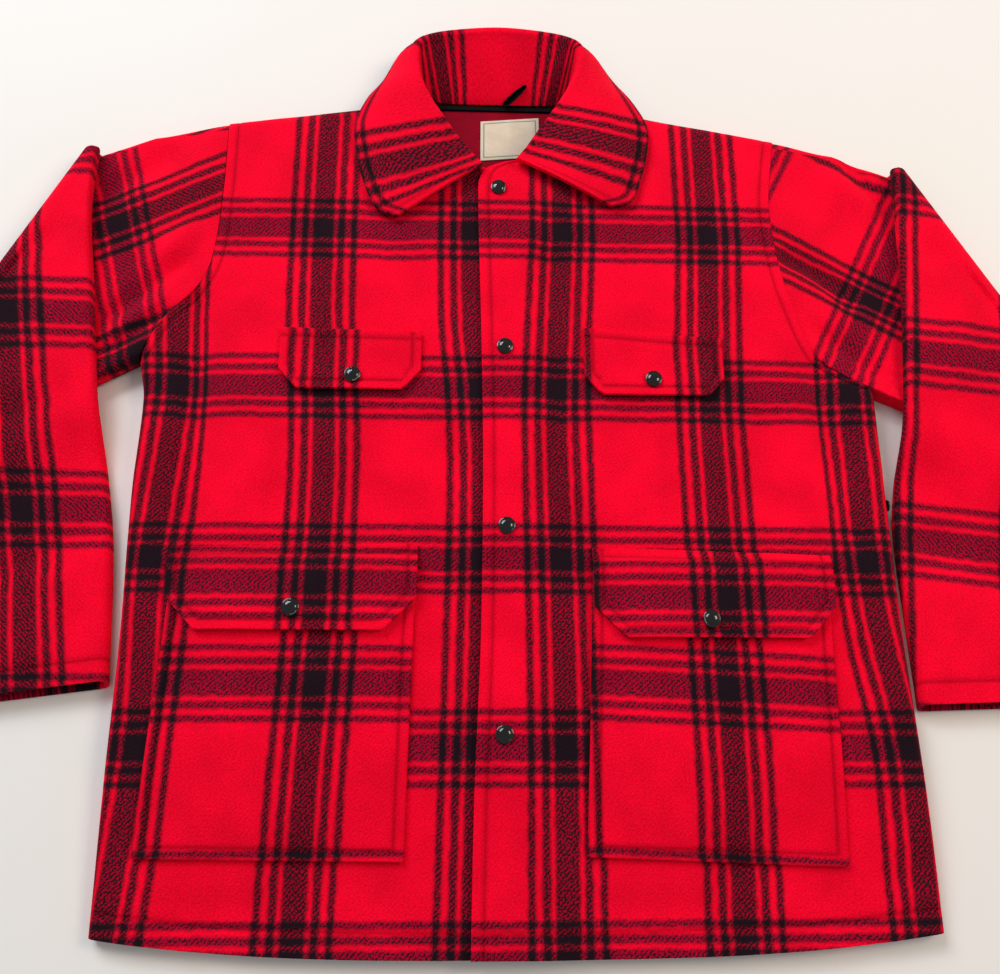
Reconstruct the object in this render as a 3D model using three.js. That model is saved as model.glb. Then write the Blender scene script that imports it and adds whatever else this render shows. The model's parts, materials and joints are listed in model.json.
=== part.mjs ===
import * as THREE from "three";

// Wool hunting coat, buttoned up and laid flat on its back with both sleeves folded down.
// Millimetres. Z is up from the table, Y runs from the hem to the collar and X to the wearer's left.
// The sizes below are measured from the middle of the front, near the top of the lower pockets.

// Driving sizes
const WALL = 3; // wool cloth
const SEAM = 0.3; // space between two pieces at a seam
const LAY_GAP = 0.7; // space under a piece laid on uneven cloth
const BODY_DEPTH = 20; // outer depth of the flattened body
const HEM_DEPTH = 12; // outer depth at the hem, where the two layers come together
const HEM_TAPER = 150; // length above the hem over which the depth shrinks
const OVERLAP_LIFT = 4; // how far the left front rides up on the right one
const OVERLAP_CENTRE = 9;
const SLEEVE_DEPTH = 12; // outer depth of a flattened sleeve
const CUFF_DEPTH = 15; // outer depth at the open end of a sleeve
const FOLD_RADIUS = 6.6; // middle of the cloth tube about the crease of a folded sleeve
const FOLD_DROP = 70; // length over which the forearm comes down to the table
const COLLAR_WALL = 4;
const COLLAR_TURN = 2.6; // middle radius of the collar's roll
const SNAP_RADIUS = 6.5;
const SNAP_HEIGHT = 3.2;

// Side seams: where the flattened body ends on each side at a few heights
const SIDES = [
  { y: -300, right: -266, left: 318 },
  { y: -190, right: -266, left: 316 },
  { y: -60, right: -266, left: 311.5 },
  { y: 50, right: -269, left: 311 },
  { y: 125, right: -268, left: 311 },
  { y: 160, right: -274, left: 311 },
  { y: 430, right: -274, left: 311 },
];

// Armhole seams from the underarm to the shoulder, straight between rows, and the height at which
// the same row of cloth meets the front edge
const ARMHOLES = {
  right: [
    { y: 154, x: -274, inner: 160 },
    { y: 165, x: -270, inner: 196 },
    { y: 178, x: -264, inner: 232 },
    { y: 190, x: -257, inner: 266 },
    { y: 203, x: -246, inner: 296 },
    { y: 217, x: -234, inner: 318 },
    { y: 234, x: -225.5, inner: 328 },
    { y: 262, x: -221, inner: 336 },
    { y: 300, x: -219.5, inner: 344 },
    { y: 336, x: -219, inner: 362 },
    { y: 420, x: -220, inner: 420 },
  ],
  left: [
    { y: 137, x: 311, inner: 160 },
    { y: 142, x: 300, inner: 196 },
    { y: 149, x: 286, inner: 232 },
    { y: 163, x: 267, inner: 266 },
    { y: 182, x: 258, inner: 296 },
    { y: 202, x: 251.5, inner: 318 },
    { y: 226, x: 245, inner: 328 },
    { y: 262, x: 239.5, inner: 336 },
    { y: 300, x: 237.5, inner: 344 },
    { y: 336, x: 241, inner: 362 },
    { y: 420, x: 256, inner: 420 },
  ],
};

// Front edge and neckline of each front: the inner end of the cloth at each height
const FRONT_EDGES = {
  right: [
    { y: -300, x: 26 },
    { y: 318, x: 26 },
    { y: 326, x: 21 },
    { y: 333, x: 4 },
    { y: 339, x: -14 },
    { y: 345, x: -34 },
    { y: 353, x: -50 },
    { y: 366, x: -62 },
    { y: 384, x: -70 },
    { y: 400, x: -75 },
    { y: 415, x: -77 },
  ],
  left: [
    { y: -300, x: -10 },
    { y: -170, x: -8 },
    { y: -60, x: -4 },
    { y: 80, x: -3 },
    { y: 190, x: -5 },
    { y: 315, x: -8 },
    { y: 324, x: -6 },
    { y: 332, x: -1 },
    { y: 338, x: 12 },
    { y: 342, x: 30 },
    { y: 348, x: 48 },
    { y: 357, x: 61 },
    { y: 370, x: 74 },
    { y: 386, x: 84 },
    { y: 402, x: 90 },
    { y: 415, x: 92 },
  ],
};

const HEM = { middle: -278, rise: 15, centre: 24, half: 292 };
const SHOULDER = { peak: 414.5, centre: 14, right: 0.16, left: 0.185 };
const BACK_NECK = { y: 413, centre: 9, half: 62, fade: 20 };

// Main creases of the front: a soft trough (or ridge) along a line, with its half width and height
const FRONT_CREASES = [
  { x1: -232, y1: 212, x2: -221, y2: 20, width: 13, height: -5 },
  { x1: 50, y1: 292, x2: 58, y2: 60, width: 11, height: -3 },
  { x1: 90, y1: 120, x2: 76, y2: 20, width: 17, height: 2.2 },
  { x1: -90, y1: 300, x2: -60, y2: 205, width: 20, height: -2.2 },
  { x1: 262, y1: 160, x2: 284, y2: 10, width: 14, height: -4 },
  { x1: 214, y1: 120, x2: 226, y2: 30, width: 16, height: -2.4 },
  { x1: -186, y1: 128, x2: -178, y2: 30, width: 18, height: 2 },
  { x1: -30, y1: 90, x2: -26, y2: -120, width: 15, height: -2.2 },
  { x1: 44, y1: -20, x2: 50, y2: -200, width: 12, height: -2.6 },
  { x1: 270, y1: -60, x2: 284, y2: -236, width: 13, height: -3 },
  { x1: -250, y1: -50, x2: -254, y2: -230, width: 10, height: -2.6 },
  { x1: 60, y1: -246, x2: 190, y2: -252, width: 11, height: -2 },
  { x1: -210, y1: -250, x2: -100, y2: -244, width: 11, height: -1.8 },
];

// Creases of the upper sleeves and the folded forearms
const SLEEVE_CREASES = {
  right: [
    { x1: -236, y1: 250, x2: -300, y2: 262, width: 10, height: -3.4 },
    { x1: -246, y1: 214, x2: -306, y2: 206, width: 9, height: -3.6 },
    { x1: -262, y1: 182, x2: -312, y2: 176, width: 8, height: -3 },
    { x1: -240, y1: 330, x2: -306, y2: 318, width: 12, height: -2.4 },
  ],
  left: [
    { x1: 262, y1: 300, x2: 330, y2: 262, width: 11, height: -3.2 },
    { x1: 266, y1: 236, x2: 318, y2: 206, width: 9, height: -3.6 },
    { x1: 280, y1: 178, x2: 326, y2: 162, width: 8, height: -3 },
    { x1: 280, y1: 344, x2: 334, y2: 330, width: 10, height: -2.4 },
  ],
};
const FOREARM_CREASES = {
  right: [
    { x1: -345, y1: 250, x2: -430, y2: 196, width: 14, height: -2.6 },
    { x1: -318, y1: 120, x2: -400, y2: 76, width: 16, height: -2.4 },
    { x1: -300, y1: 10, x2: -380, y2: -30, width: 15, height: -1.8 },
  ],
  left: [
    { x1: 366, y1: 262, x2: 440, y2: 200, width: 14, height: -2.6 },
    { x1: 345, y1: 128, x2: 430, y2: 92, width: 16, height: -2.4 },
    { x1: 330, y1: 20, x2: 410, y2: -20, width: 15, height: -1.8 },
  ],
};

// A folded sleeve: edges on the table from the armhole to the crease and from the crease to the cuff
const SLEEVES = {
  right: {
    shoulder: [-220, 376],
    overarm: [-282, 365],
    underarm: [-274, 154],
    crease: [-325, 346],
    creaseRun: [-0.447, -0.894],
    foreInner: [
      { t: 0, x: -325, y: 346 },
      { t: 0.12, x: -325, y: 290 },
      { t: 0.3, x: -314, y: 214 },
      { t: 0.55, x: -297, y: 98 },
      { t: 0.78, x: -280, y: 8 },
      { t: 1, x: -271, y: -95 },
    ],
    cuffOuter: [-418, -114],
  },
  left: {
    shoulder: [248, 370],
    overarm: [300, 362],
    underarm: [311, 137],
    crease: [347, 342],
    creaseRun: [0.4845, -0.8748],
    foreInner: [
      { t: 0, x: 347, y: 342 },
      { t: 0.12, x: 345, y: 290 },
      { t: 0.3, x: 341, y: 214 },
      { t: 0.55, x: 329, y: 104 },
      { t: 0.72, x: 317, y: 34 },
      { t: 0.8, x: 315.5, y: 0 },
      { t: 1, x: 318, y: -111 },
    ],
    cuffOuter: [466, -106],
  },
};
const CREASE_LENGTH = 338;

// Collar stations from its right front end round the back to its left front end:
// the seam at the neck, the roll and the free edge, all at the middle of the cloth
const COLLAR = [
  { neck: [-12, 331, 23], roll: [-5, 333, 25.6], edge: [-75, 284, 23] },
  { neck: [-30, 339, 22.8], roll: [-15, 343, 28], edge: [-93, 293, 23] },
  { neck: [-46, 352, 22.8], roll: [-27, 357, 31], edge: [-104, 318, 23] },
  { neck: [-59, 367, 22.8], roll: [-39, 374, 34], edge: [-110, 345, 23] },
  { neck: [-67, 385, 22], roll: [-50, 391, 36], edge: [-112, 372, 23] },
  { neck: [-71, 400, 18], roll: [-58, 410, 37], edge: [-103, 398, 21.4] },
  { neck: [-62, 412, 9], roll: [-62, 430, 36], edge: [-91, 427, 9] },
  { neck: [-50, 411, 6.5], roll: [-61, 448, 35], edge: [-80, 452, 5] },
  { neck: [-37, 409.5, 5.8], roll: [-48, 456, 35], edge: [-60, 468, 4] },
  { neck: [-20, 409, 5.7], roll: [-24, 460, 36], edge: [-28, 472, 3.5] },
  { neck: [8, 409, 5.7], roll: [8, 463, 36], edge: [8, 474, 3.5] },
  { neck: [34, 409, 5.7], roll: [38, 461, 36], edge: [44, 473, 3.5] },
  { neck: [54, 409.5, 5.8], roll: [65, 457, 35], edge: [78, 470, 4] },
  { neck: [66, 411, 6.5], roll: [78, 449, 35], edge: [97, 455, 5] },
  { neck: [78, 412, 9], roll: [78, 431, 36], edge: [112, 430, 9] },
  { neck: [86, 400, 18], roll: [69, 403, 37], edge: [125, 400, 21.4] },
  { neck: [81, 385, 22], roll: [57, 382, 36], edge: [136, 375, 23] },
  { neck: [71, 370, 22.8], roll: [45, 364, 34], edge: [135, 350, 23] },
  { neck: [58, 357, 23.6], roll: [34, 347, 32], edge: [129, 325, 23] },
  { neck: [46, 347, 26.2], roll: [28, 340, 30], edge: [121, 303, 24] },
  { neck: [33, 339, 27], roll: [25, 336, 29.6], edge: [104, 296, 25] },
];

// Lower patch pockets, each with its four corners, and the flaps with their chamfered lower corners
const POCKETS = {
  right: { bottom: [-240, -56, -213, -216], top: [-230, -52, -12, -12] },
  left: { bottom: [70, 252, -213, -220], top: [79, 255, -12, -12] },
};
const FLAPS = {
  lower_flap_right: { x1: -233, x2: -51, top1: 3, top2: 7, low: -59, chamfer: 25, cut: 24, over: "right" },
  lower_flap_left: { x1: 79, x2: 258, top1: 5, top2: 0, low: -63, chamfer: 24, cut: 22, over: "left" },
  chest_flap_right: { x1: -163, x2: -52, top1: 182, top2: 180, low: 130, chamfer: 17, cut: 14 },
  chest_flap_left: { x1: 77, x2: 188, top1: 185, top2: 178, low: 128, chamfer: 16, cut: 13 },
};
const POCKET_BULGE = 3;
const FLAP_CURL = 2;

// Snap caps: four down the front and one on each flap
const SNAPS = [
  { name: "front_snap_1", x: 9, y: 313 },
  { name: "front_snap_2", x: 14, y: 168 },
  { name: "front_snap_3", x: 15, y: 21 },
  { name: "front_snap_4", x: 13, y: -131 },
  { name: "chest_snap_right", x: -105, y: 141, flap: "chest_flap_right" },
  { name: "chest_snap_left", x: 131, y: 141, flap: "chest_flap_left" },
  { name: "lower_snap_right", x: -141, y: -43, flap: "lower_flap_right" },
  { name: "lower_snap_left", x: 163, y: -50, flap: "lower_flap_left" },
];
const SIDE_SNAP = { y: 43, z: 11, radius: 4.5, height: 3.6 };

// Colours and roughness of the cloth and the caps
const WOOL = { color: 0xe0123a, roughness: 0.95, metalness: 0 };
const SATIN = { color: 0x84031b, roughness: 0.45, metalness: 0 };
const TAPE = { color: 0x141214, roughness: 0.7, metalness: 0 };
const LABEL = { color: 0xe2d8c4, roughness: 0.7, metalness: 0 };
const SNAP = { color: 0x0c0c0e, roughness: 0.18, metalness: 0 };

const clamp = (value, low, high) => Math.min(Math.max(value, low), high);
const mix = (a, b, t) => a + (b - a) * t;
const mixPoint = (a, b, t) => a.map((value, i) => mix(value, b[i], t));

// Rises smoothly from 0 to 1 between two places.
function ease(from, to, at) {
  const t = clamp((at - from) / (to - from), 0, 1);
  return t * t * (3 - 2 * t);
}

// A smooth curve through one column of a table, read at a place along another column.
function curveAt(rows, along, column, at) {
  let i = 0;
  while (i < rows.length - 2 && at > rows[i + 1][along]) i += 1;
  const before = rows[Math.max(i - 1, 0)];
  const start = rows[i];
  const end = rows[i + 1];
  const after = rows[Math.min(i + 2, rows.length - 1)];
  const span = end[along] - start[along];
  const t = clamp((at - start[along]) / span, 0, 1);
  const slopeIn = ((end[column] - before[column]) / (end[along] - before[along])) * span;
  const slopeOut = ((after[column] - start[column]) / (after[along] - start[along])) * span;
  const t2 = t * t;
  const t3 = t2 * t;
  return (
    (2 * t3 - 3 * t2 + 1) * start[column] +
    (t3 - 2 * t2 + t) * slopeIn +
    (3 * t2 - 2 * t3) * end[column] +
    (t3 - t2) * slopeOut
  );
}

// Straight lines between the rows of a table.
function lineAt(rows, along, column, at) {
  let i = 0;
  while (i < rows.length - 2 && at > rows[i + 1][along]) i += 1;
  const t = clamp((at - rows[i][along]) / (rows[i + 1][along] - rows[i][along]), 0, 1);
  return mix(rows[i][column], rows[i + 1][column], t);
}

// The summed height of soft creases at a point, each fading out at its two ends.
function creaseHeight(creases, x, y) {
  let height = 0;
  for (const c of creases) {
    const length = Math.hypot(c.x2 - c.x1, c.y2 - c.y1);
    const runX = (c.x2 - c.x1) / length;
    const runY = (c.y2 - c.y1) / length;
    const along = (x - c.x1) * runX + (y - c.y1) * runY;
    const across = (x - c.x1) * runY - (y - c.y1) * runX;
    const inside = ease(-c.width, c.width, along) * ease(-c.width, c.width, length - along);
    height += c.height * inside * Math.exp(-((across / c.width) ** 2));
  }
  return height;
}

const bodyDepth = (y) => mix(HEM_DEPTH, BODY_DEPTH, ease(HEM.middle, HEM.middle + HEM_TAPER, y));
const hemLine = (x) => HEM.middle + HEM.rise * Math.abs((x - HEM.centre) / HEM.half) ** 3;

function shoulderLine(x) {
  const across = x - SHOULDER.centre;
  return SHOULDER.peak - (across < 0 ? SHOULDER.right : SHOULDER.left) * Math.abs(across);
}

// How far the left front is lifted by the right front that lies beneath its edge.
const overlapLift = (side, x) => (side === "left" ? OVERLAP_LIFT * (1 - ease(34, 84, x)) : 0);

// Creases of the fronts, none where the two fronts overlap.
function frontCrease(x, y) {
  return creaseHeight(FRONT_CREASES, x, y) * ease(22, 38, Math.abs(x - OVERLAP_CENTRE));
}

// Outer height of a front panel away from its rolled edges.
function frontTop(side, x, y) {
  return bodyDepth(y) + overlapLift(side, x) + frontCrease(x, y);
}

// One closed wall between two matching grids of points, rows by columns. A looped grid is a tube.
function wallBetween(outer, inner, looped = false) {
  const rows = outer.length;
  const columns = outer[0].length;
  const spans = looped ? columns : columns - 1;
  const positions = [...outer.flat(), ...inner.flat()].flat();
  const index = [];
  const at = (layer, i, j) => layer * rows * columns + i * columns + (j % columns);
  const quad = (a, b, c, d) => index.push(a, b, c, a, c, d);
  for (let i = 0; i < rows - 1; i += 1) {
    for (let j = 0; j < spans; j += 1) {
      quad(at(0, i, j), at(0, i, j + 1), at(0, i + 1, j + 1), at(0, i + 1, j));
      quad(at(1, i, j), at(1, i + 1, j), at(1, i + 1, j + 1), at(1, i, j + 1));
    }
    if (!looped) {
      quad(at(0, i, 0), at(0, i + 1, 0), at(1, i + 1, 0), at(1, i, 0));
      quad(at(0, i + 1, spans), at(0, i, spans), at(1, i, spans), at(1, i + 1, spans));
    }
  }
  for (let j = 0; j < spans; j += 1) {
    quad(at(0, 0, j + 1), at(0, 0, j), at(1, 0, j), at(1, 0, j + 1));
    quad(at(0, rows - 1, j), at(0, rows - 1, j + 1), at(1, rows - 1, j + 1), at(1, rows - 1, j));
  }
  return closedGeometry(positions, index);
}

// A geometry from points and triangles, turned so that its faces point out.
function closedGeometry(positions, index) {
  let volume = 0;
  const corner = (i) => new THREE.Vector3().fromArray(positions, index[i] * 3);
  for (let i = 0; i < index.length; i += 3) {
    volume += corner(i).dot(corner(i + 1).cross(corner(i + 2)));
  }
  if (volume < 0) index.reverse();
  const geometry = new THREE.BufferGeometry();
  geometry.setAttribute("position", new THREE.Float32BufferAttribute(positions, 3));
  geometry.setIndex(index);
  geometry.computeVertexNormals();
  return geometry;
}

// The height and inset of a point on the rounded side of the body, by its length from the seam.
function sideRoll(length, radius, wall) {
  const quarter = (radius * Math.PI) / 2;
  const angle = Math.min(length / radius, Math.PI / 2);
  return {
    inset: radius - (radius - wall) * Math.cos(angle) + Math.max(length - quarter, 0),
    rise: Math.sin(angle),
  };
}

// Length round the rolled side at which an armhole seam cuts the cloth.
function rollLengthAt(inset, radius) {
  if (inset >= radius) return inset - radius + (radius * Math.PI) / 2;
  return radius * Math.acos(1 - Math.max(inset, 0) / radius);
}

const EDGE_COLUMNS = [0, 5, 10, 16]; // lengths from an outer edge where the roll needs a point
const FRONT_SPANS = 8; // spans across the flat of a front
const TOP_ANGLES = [Math.PI / 2, Math.PI / 3, Math.PI / 6, 0]; // steps of the roll at the shoulder
const LOWER_ROWS = 11; // rows between the hem and the underarm

// Rows of a body panel: heights at its outer and inner ends, then the steps of the shoulder roll.
function panelRows(side) {
  const armhole = ARMHOLES[side];
  const rows = [];
  for (let i = 0; i < LOWER_ROWS; i += 1) {
    const share = i / LOWER_ROWS;
    rows.push({
      outer: mix(HEM.middle, armhole[0].y, share),
      inner: mix(HEM.middle, armhole[0].inner, share),
      angle: null,
    });
  }
  for (const { y, inner } of armhole.slice(0, -1)) rows.push({ outer: y, inner, angle: null });
  for (const angle of TOP_ANGLES) rows.push({ outer: SHOULDER.peak, inner: SHOULDER.peak, angle });
  return rows;
}

// Moves a row to the curved hem near the bottom and to the shoulder line near the top.
function shapedRow(nominal, topAngle, x, radius, wall, top) {
  if (topAngle !== null) return top - radius + (radius - wall) * Math.cos(topAngle);
  return nominal + (hemLine(x) - HEM.middle) * (1 - ease(HEM.middle, HEM.middle + 90, nominal));
}

// One outer edge of the body at a height: the virtual side line and how much of the roll is cut away.
function outerEdge(side, y, radius) {
  const line = curveAt(SIDES, "y", side, y);
  const armhole = ARMHOLES[side];
  if (y <= armhole[0].y) return { line, cut: 0 };
  const seam = lineAt(armhole, "y", "x", y);
  return { line, cut: rollLengthAt(Math.abs(seam - line), radius) };
}

// Points of a front panel on its outer face (wall 0) or its inner face (wall WALL).
function frontPoints(side, wall) {
  const count = EDGE_COLUMNS.length + FRONT_SPANS;
  return panelRows(side).map((row) => {
    const points = [];
    for (let j = 0; j < count; j += 1) points.push(frontPoint(side, row, j, wall));
    return points;
  });
}

function frontPoint(side, row, column, wall) {
  const sign = side === "left" ? -1 : 1;
  const last = EDGE_COLUMNS.length - 1;
  const share = Math.max(column - last, 0) / FRONT_SPANS;
  const nominal = mix(row.outer, row.inner, share);
  let y = nominal;
  let x = 0;
  let radius = BODY_DEPTH / 2;
  let rise = 1;
  for (let pass = 0; pass < 4; pass += 1) {
    radius = bodyDepth(y) / 2;
    const edge = outerEdge(side, y, radius);
    const length = edge.cut + EDGE_COLUMNS[Math.min(column, last)];
    const spot = sideRoll(length, radius, column > last ? 0 : wall);
    x = mix(edge.line + sign * spot.inset, curveAt(FRONT_EDGES[side], "y", "x", y), share);
    rise = column > last ? 1 : spot.rise;
    y = shapedRow(nominal, row.angle, x, radius, wall, shoulderLine(x));
  }
  if (row.angle !== null) rise *= Math.sin(row.angle);
  const height = radius + SEAM / 2 + (radius - wall - SEAM / 2) * rise;
  return [x, y, height + (overlapLift(side, x) + frontCrease(x, y)) * rise];
}

// Shares across the flat of the back, closer together beside the neck
const BACK_SHARES = [0.1, 0.2, 0.294, 0.349, 0.44, 0.535, 0.628, 0.683, 0.78, 0.89, 1];

// Top edge of the back: level across the neck, and turned up to the shoulder seam beside it.
function backTopEdge(x) {
  const turn = ease(BACK_NECK.half, BACK_NECK.half + BACK_NECK.fade, Math.abs(x - BACK_NECK.centre));
  return { y: mix(BACK_NECK.y, shoulderLine(x), turn), turn };
}

// Points of the back, which rests on the table and curves up to the side seams and the shoulders.
function backPoints(wall) {
  const right = panelRows("right");
  const left = panelRows("left");
  const count = EDGE_COLUMNS.length * 2 + BACK_SHARES.length - 1;
  return right.map((row, i) => {
    const points = [];
    for (let j = 0; j < count; j += 1) points.push(backPoint(row, left[i], j, count, wall));
    return points;
  });
}

function backPoint(right, left, column, count, wall) {
  const edges = EDGE_COLUMNS.length;
  const share = column < edges ? 0 : BACK_SHARES[Math.min(column - edges, BACK_SHARES.length - 1)];
  const nominal = mix(right.outer, left.outer, share);
  const step = Math.min(column, count - 1 - column, edges - 1);
  let y = nominal;
  let x = 0;
  let radius = BODY_DEPTH / 2;
  let rise = 1;
  for (let pass = 0; pass < 4; pass += 1) {
    radius = bodyDepth(y) / 2;
    const flat = share > 0 && share < 1;
    const ends = ["right", "left"].map((side) => {
      const edge = outerEdge(side, y, radius);
      const spot = sideRoll(edge.cut + EDGE_COLUMNS[step], radius, flat ? 0 : wall);
      return { x: edge.line + (side === "left" ? -1 : 1) * spot.inset, rise: spot.rise };
    });
    x = mix(ends[0].x, ends[1].x, share);
    const top = backTopEdge(x);
    rise = flat ? 1 : ends[share].rise;
    y = shapedRow(nominal, right.angle, x, radius, wall * top.turn, top.y);
    if (right.angle !== null) rise = mix(1, Math.sin(right.angle), top.turn) * rise;
  }
  return [x, y, radius - SEAM / 2 - (radius - wall - SEAM / 2) * rise];
}

// Ring of a flattened tube: the share along its flat and the angle round it, for each point. The
// shares match the rows of the armhole, so that the seam ring follows the body's edge.
function ringSteps(side) {
  const { shoulder, underarm } = SLEEVES[side];
  const length = Math.hypot(shoulder[0] - underarm[0], shoulder[1] - underarm[1]);
  const flats = ARMHOLES[side].slice(2, -1).map(({ y }) => {
    const along = ((shoulder[1] - y) / (shoulder[1] - underarm[1])) * length;
    return (along - BODY_DEPTH / 2) / (length - BODY_DEPTH);
  });
  const shares = [0, ...flats.reverse(), 1];
  const steps = shares.map((share) => ({ share, angle: 90 }));
  for (const angle of [45, 0, -45]) steps.push({ share: 1, angle });
  for (const share of shares.reverse()) steps.push({ share, angle: -90 });
  for (const angle of [-135, 180, 135]) steps.push({ share: 0, angle });
  return steps.map((s) => ({ share: s.share, turn: THREE.MathUtils.degToRad(s.angle) }));
}

// Places one ring. spot(along, height, rise) gives the point for a length from the upper edge.
function ring(side, length, depth, wall, spot) {
  const radius = depth / 2;
  return ringSteps(side).map(({ share, turn }) => {
    const size = radius - wall;
    const along = radius + share * (length - 2 * radius) + Math.cos(turn) * size;
    return spot(along, Math.sin(turn) * size, Math.sin(turn));
  });
}

const UPPER_STATIONS = 8;
const BEND_STATIONS = 5;
const FORE_STATIONS = 9;
const STACK = 2 * FOLD_RADIUS; // how far the forearm is lifted by the upper sleeve beneath it

// Height of the forearm above the table, falling to nothing past the edge of the upper sleeve.
function forearmLift(sleeve, x, y) {
  const [ax, ay] = sleeve.underarm;
  const [bx, by] = creaseEnd(sleeve);
  const length = Math.hypot(bx - ax, by - ay);
  const outward = Math.sign(bx - ax);
  const past = (outward * ((x - ax) * (by - ay) - (y - ay) * (bx - ax))) / length;
  return STACK * (1 - ease(6, FOLD_DROP, past));
}

const creaseEnd = ({ crease, creaseRun }) => crease.map((value, i) => value + creaseRun[i] * CREASE_LENGTH);

// The seam ring at the armhole bows into the body, and the bow fades out along the sleeve.
function armholeBow(side, sleeve, share) {
  const [ax, ay] = sleeve.shoulder;
  const [bx, by] = sleeve.underarm;
  const y = mix(ay, by, share);
  const seam = lineAt(ARMHOLES[side], "y", "x", y);
  return seam - mix(ax, bx, share);
}

// Upper part of a sleeve, from the armhole to the crease.
function upperRing(side, sleeve, t, wall) {
  const end = creaseEnd(sleeve);
  const half = mixPoint(sleeve.shoulder, sleeve.overarm, Math.min(2 * t, 1));
  const upper = t < 0.5 ? half : mixPoint(sleeve.overarm, sleeve.crease, 2 * t - 1);
  const lower = mixPoint(sleeve.underarm, end, t);
  const length = Math.hypot(lower[0] - upper[0], lower[1] - upper[1]);
  const depth = mix(BODY_DEPTH, SLEEVE_DEPTH, ease(0, 0.45, t));
  const away = side === "left" ? SEAM : -SEAM;
  return ring(side, length, depth, wall, (along, height, rise) => {
    const share = along / length;
    const bow = armholeBow(side, sleeve, clamp(share, 0, 1)) * (1 - t) ** 1.6 + away;
    const [x, y] = mixPoint(upper, lower, share);
    const crease = creaseHeight(SLEEVE_CREASES[side], x + bow, y) * Math.max(rise, 0);
    return [x + bow, y, depth / 2 + height + crease];
  });
}

// The half turn of the cloth tube about the crease.
function bendRing(side, sleeve, turn, wall) {
  const run = sleeve.creaseRun;
  const out = run[0] < 0 ? [run[1], -run[0]] : [-run[1], run[0]];
  return ring(side, CREASE_LENGTH, SLEEVE_DEPTH, wall, (along, height) => {
    const reach = FOLD_RADIUS - height;
    const away = reach * Math.sin(turn);
    const x = sleeve.crease[0] + run[0] * along + out[0] * away;
    const y = sleeve.crease[1] + run[1] * along + out[1] * away;
    return [x, y, SLEEVE_DEPTH / 2 + FOLD_RADIUS - reach * Math.cos(turn)];
  });
}

// The forearm, which lies on the upper sleeve and then on the table, down to the open cuff.
function forearmRing(side, sleeve, t, wall) {
  const upper = ["x", "y"].map((axis) => curveAt(sleeve.foreInner, "t", axis, t));
  const lower = mixPoint(creaseEnd(sleeve), sleeve.cuffOuter, t);
  const length = Math.hypot(lower[0] - upper[0], lower[1] - upper[1]);
  const depth = mix(SLEEVE_DEPTH, CUFF_DEPTH, ease(0.7, 1, t));
  const cuffReach = -2 * ease(0.85, 1, t);
  return ring(side, length, depth, wall, (along, height, rise) => {
    const [x, flatY] = mixPoint(upper, lower, along / length);
    const y = flatY + cuffReach * rise;
    const crease = creaseHeight(FOREARM_CREASES[side], x, y) * Math.max(-rise, 0);
    return [x, y, depth / 2 - height + forearmLift(sleeve, x, y) + crease];
  });
}

function sleevePoints(side, wall) {
  const sleeve = SLEEVES[side];
  const rings = [];
  for (let i = 0; i <= UPPER_STATIONS; i += 1) {
    rings.push(upperRing(side, sleeve, i / UPPER_STATIONS, wall));
  }
  for (let i = 1; i <= BEND_STATIONS; i += 1) {
    rings.push(bendRing(side, sleeve, (Math.PI * i) / BEND_STATIONS, wall));
  }
  for (let i = 1; i <= FORE_STATIONS; i += 1) {
    rings.push(forearmRing(side, sleeve, (i / FORE_STATIONS) ** 1.1, wall));
  }
  return rings;
}

// Middle of the collar's cloth: from the neck seam up to the roll, round it and down to the edge.
function collarLine(station, run) {
  const neck = new THREE.Vector3(...station.neck);
  const roll = new THREE.Vector3(...station.roll);
  const edge = new THREE.Vector3(...station.edge);
  const apex = roll.clone().sub(neck.clone().add(edge).multiplyScalar(0.5));
  apex.addScaledVector(run, -apex.dot(run)).normalize();
  const over = apex.clone().cross(run).normalize();
  const centre = roll.clone().addScaledVector(apex, -COLLAR_TURN);
  const line = [];
  const foot = centre.clone().addScaledVector(over, -COLLAR_TURN);
  line.push(neck, neck.clone().lerp(foot, 0.5));
  for (let i = 0; i <= 4; i += 1) {
    const angle = (Math.PI * i) / 4;
    const point = centre.clone().addScaledVector(over, -COLLAR_TURN * Math.cos(angle));
    line.push(point.addScaledVector(apex, COLLAR_TURN * Math.sin(angle)));
  }
  const start = line[line.length - 1];
  for (const share of [0.25, 0.5, 0.75, 1]) {
    const point = start.clone().lerp(edge, share);
    line.push(point.addScaledVector(over, 3.2 * Math.sin(Math.PI * share) * (1 - 0.4 * share)));
  }
  return line;
}

function collarGeometry() {
  const lines = COLLAR.map((station, i) => {
    const before = new THREE.Vector3(...COLLAR[Math.max(i - 1, 0)].roll);
    const after = new THREE.Vector3(...COLLAR[Math.min(i + 1, COLLAR.length - 1)].roll);
    return collarLine(station, after.sub(before).normalize());
  });
  const faces = [1, -1].map((sign) => offsetGrid(lines, (sign * COLLAR_WALL) / 2));
  return wallBetween(faces[0], faces[1]);
}

// Moves a grid of points along its own normals.
function offsetGrid(lines, distance) {
  return lines.map((line, i) =>
    line.map((point, j) => {
      const along = lines[Math.min(i + 1, lines.length - 1)][j].clone();
      along.sub(lines[Math.max(i - 1, 0)][j]);
      const across = line[Math.min(j + 1, line.length - 1)].clone();
      across.sub(line[Math.max(j - 1, 0)]);
      const normal = along.cross(across).normalize();
      return point.clone().addScaledVector(normal, distance).toArray();
    }),
  );
}

// A flat piece of cloth laid on something: a grid of places and the height of its underside.
function patchGeometry(columns, rows, place, underside, thickness) {
  const outer = [];
  const inner = [];
  for (const v of rows) {
    outer.push([]);
    inner.push([]);
    for (const u of columns) {
      const [x, y] = place(u, v);
      const z = underside(x, y, u, v);
      outer[outer.length - 1].push([x, y, z + thickness]);
      inner[inner.length - 1].push([x, y, z]);
    }
  }
  return wallBetween(outer, inner);
}

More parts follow.
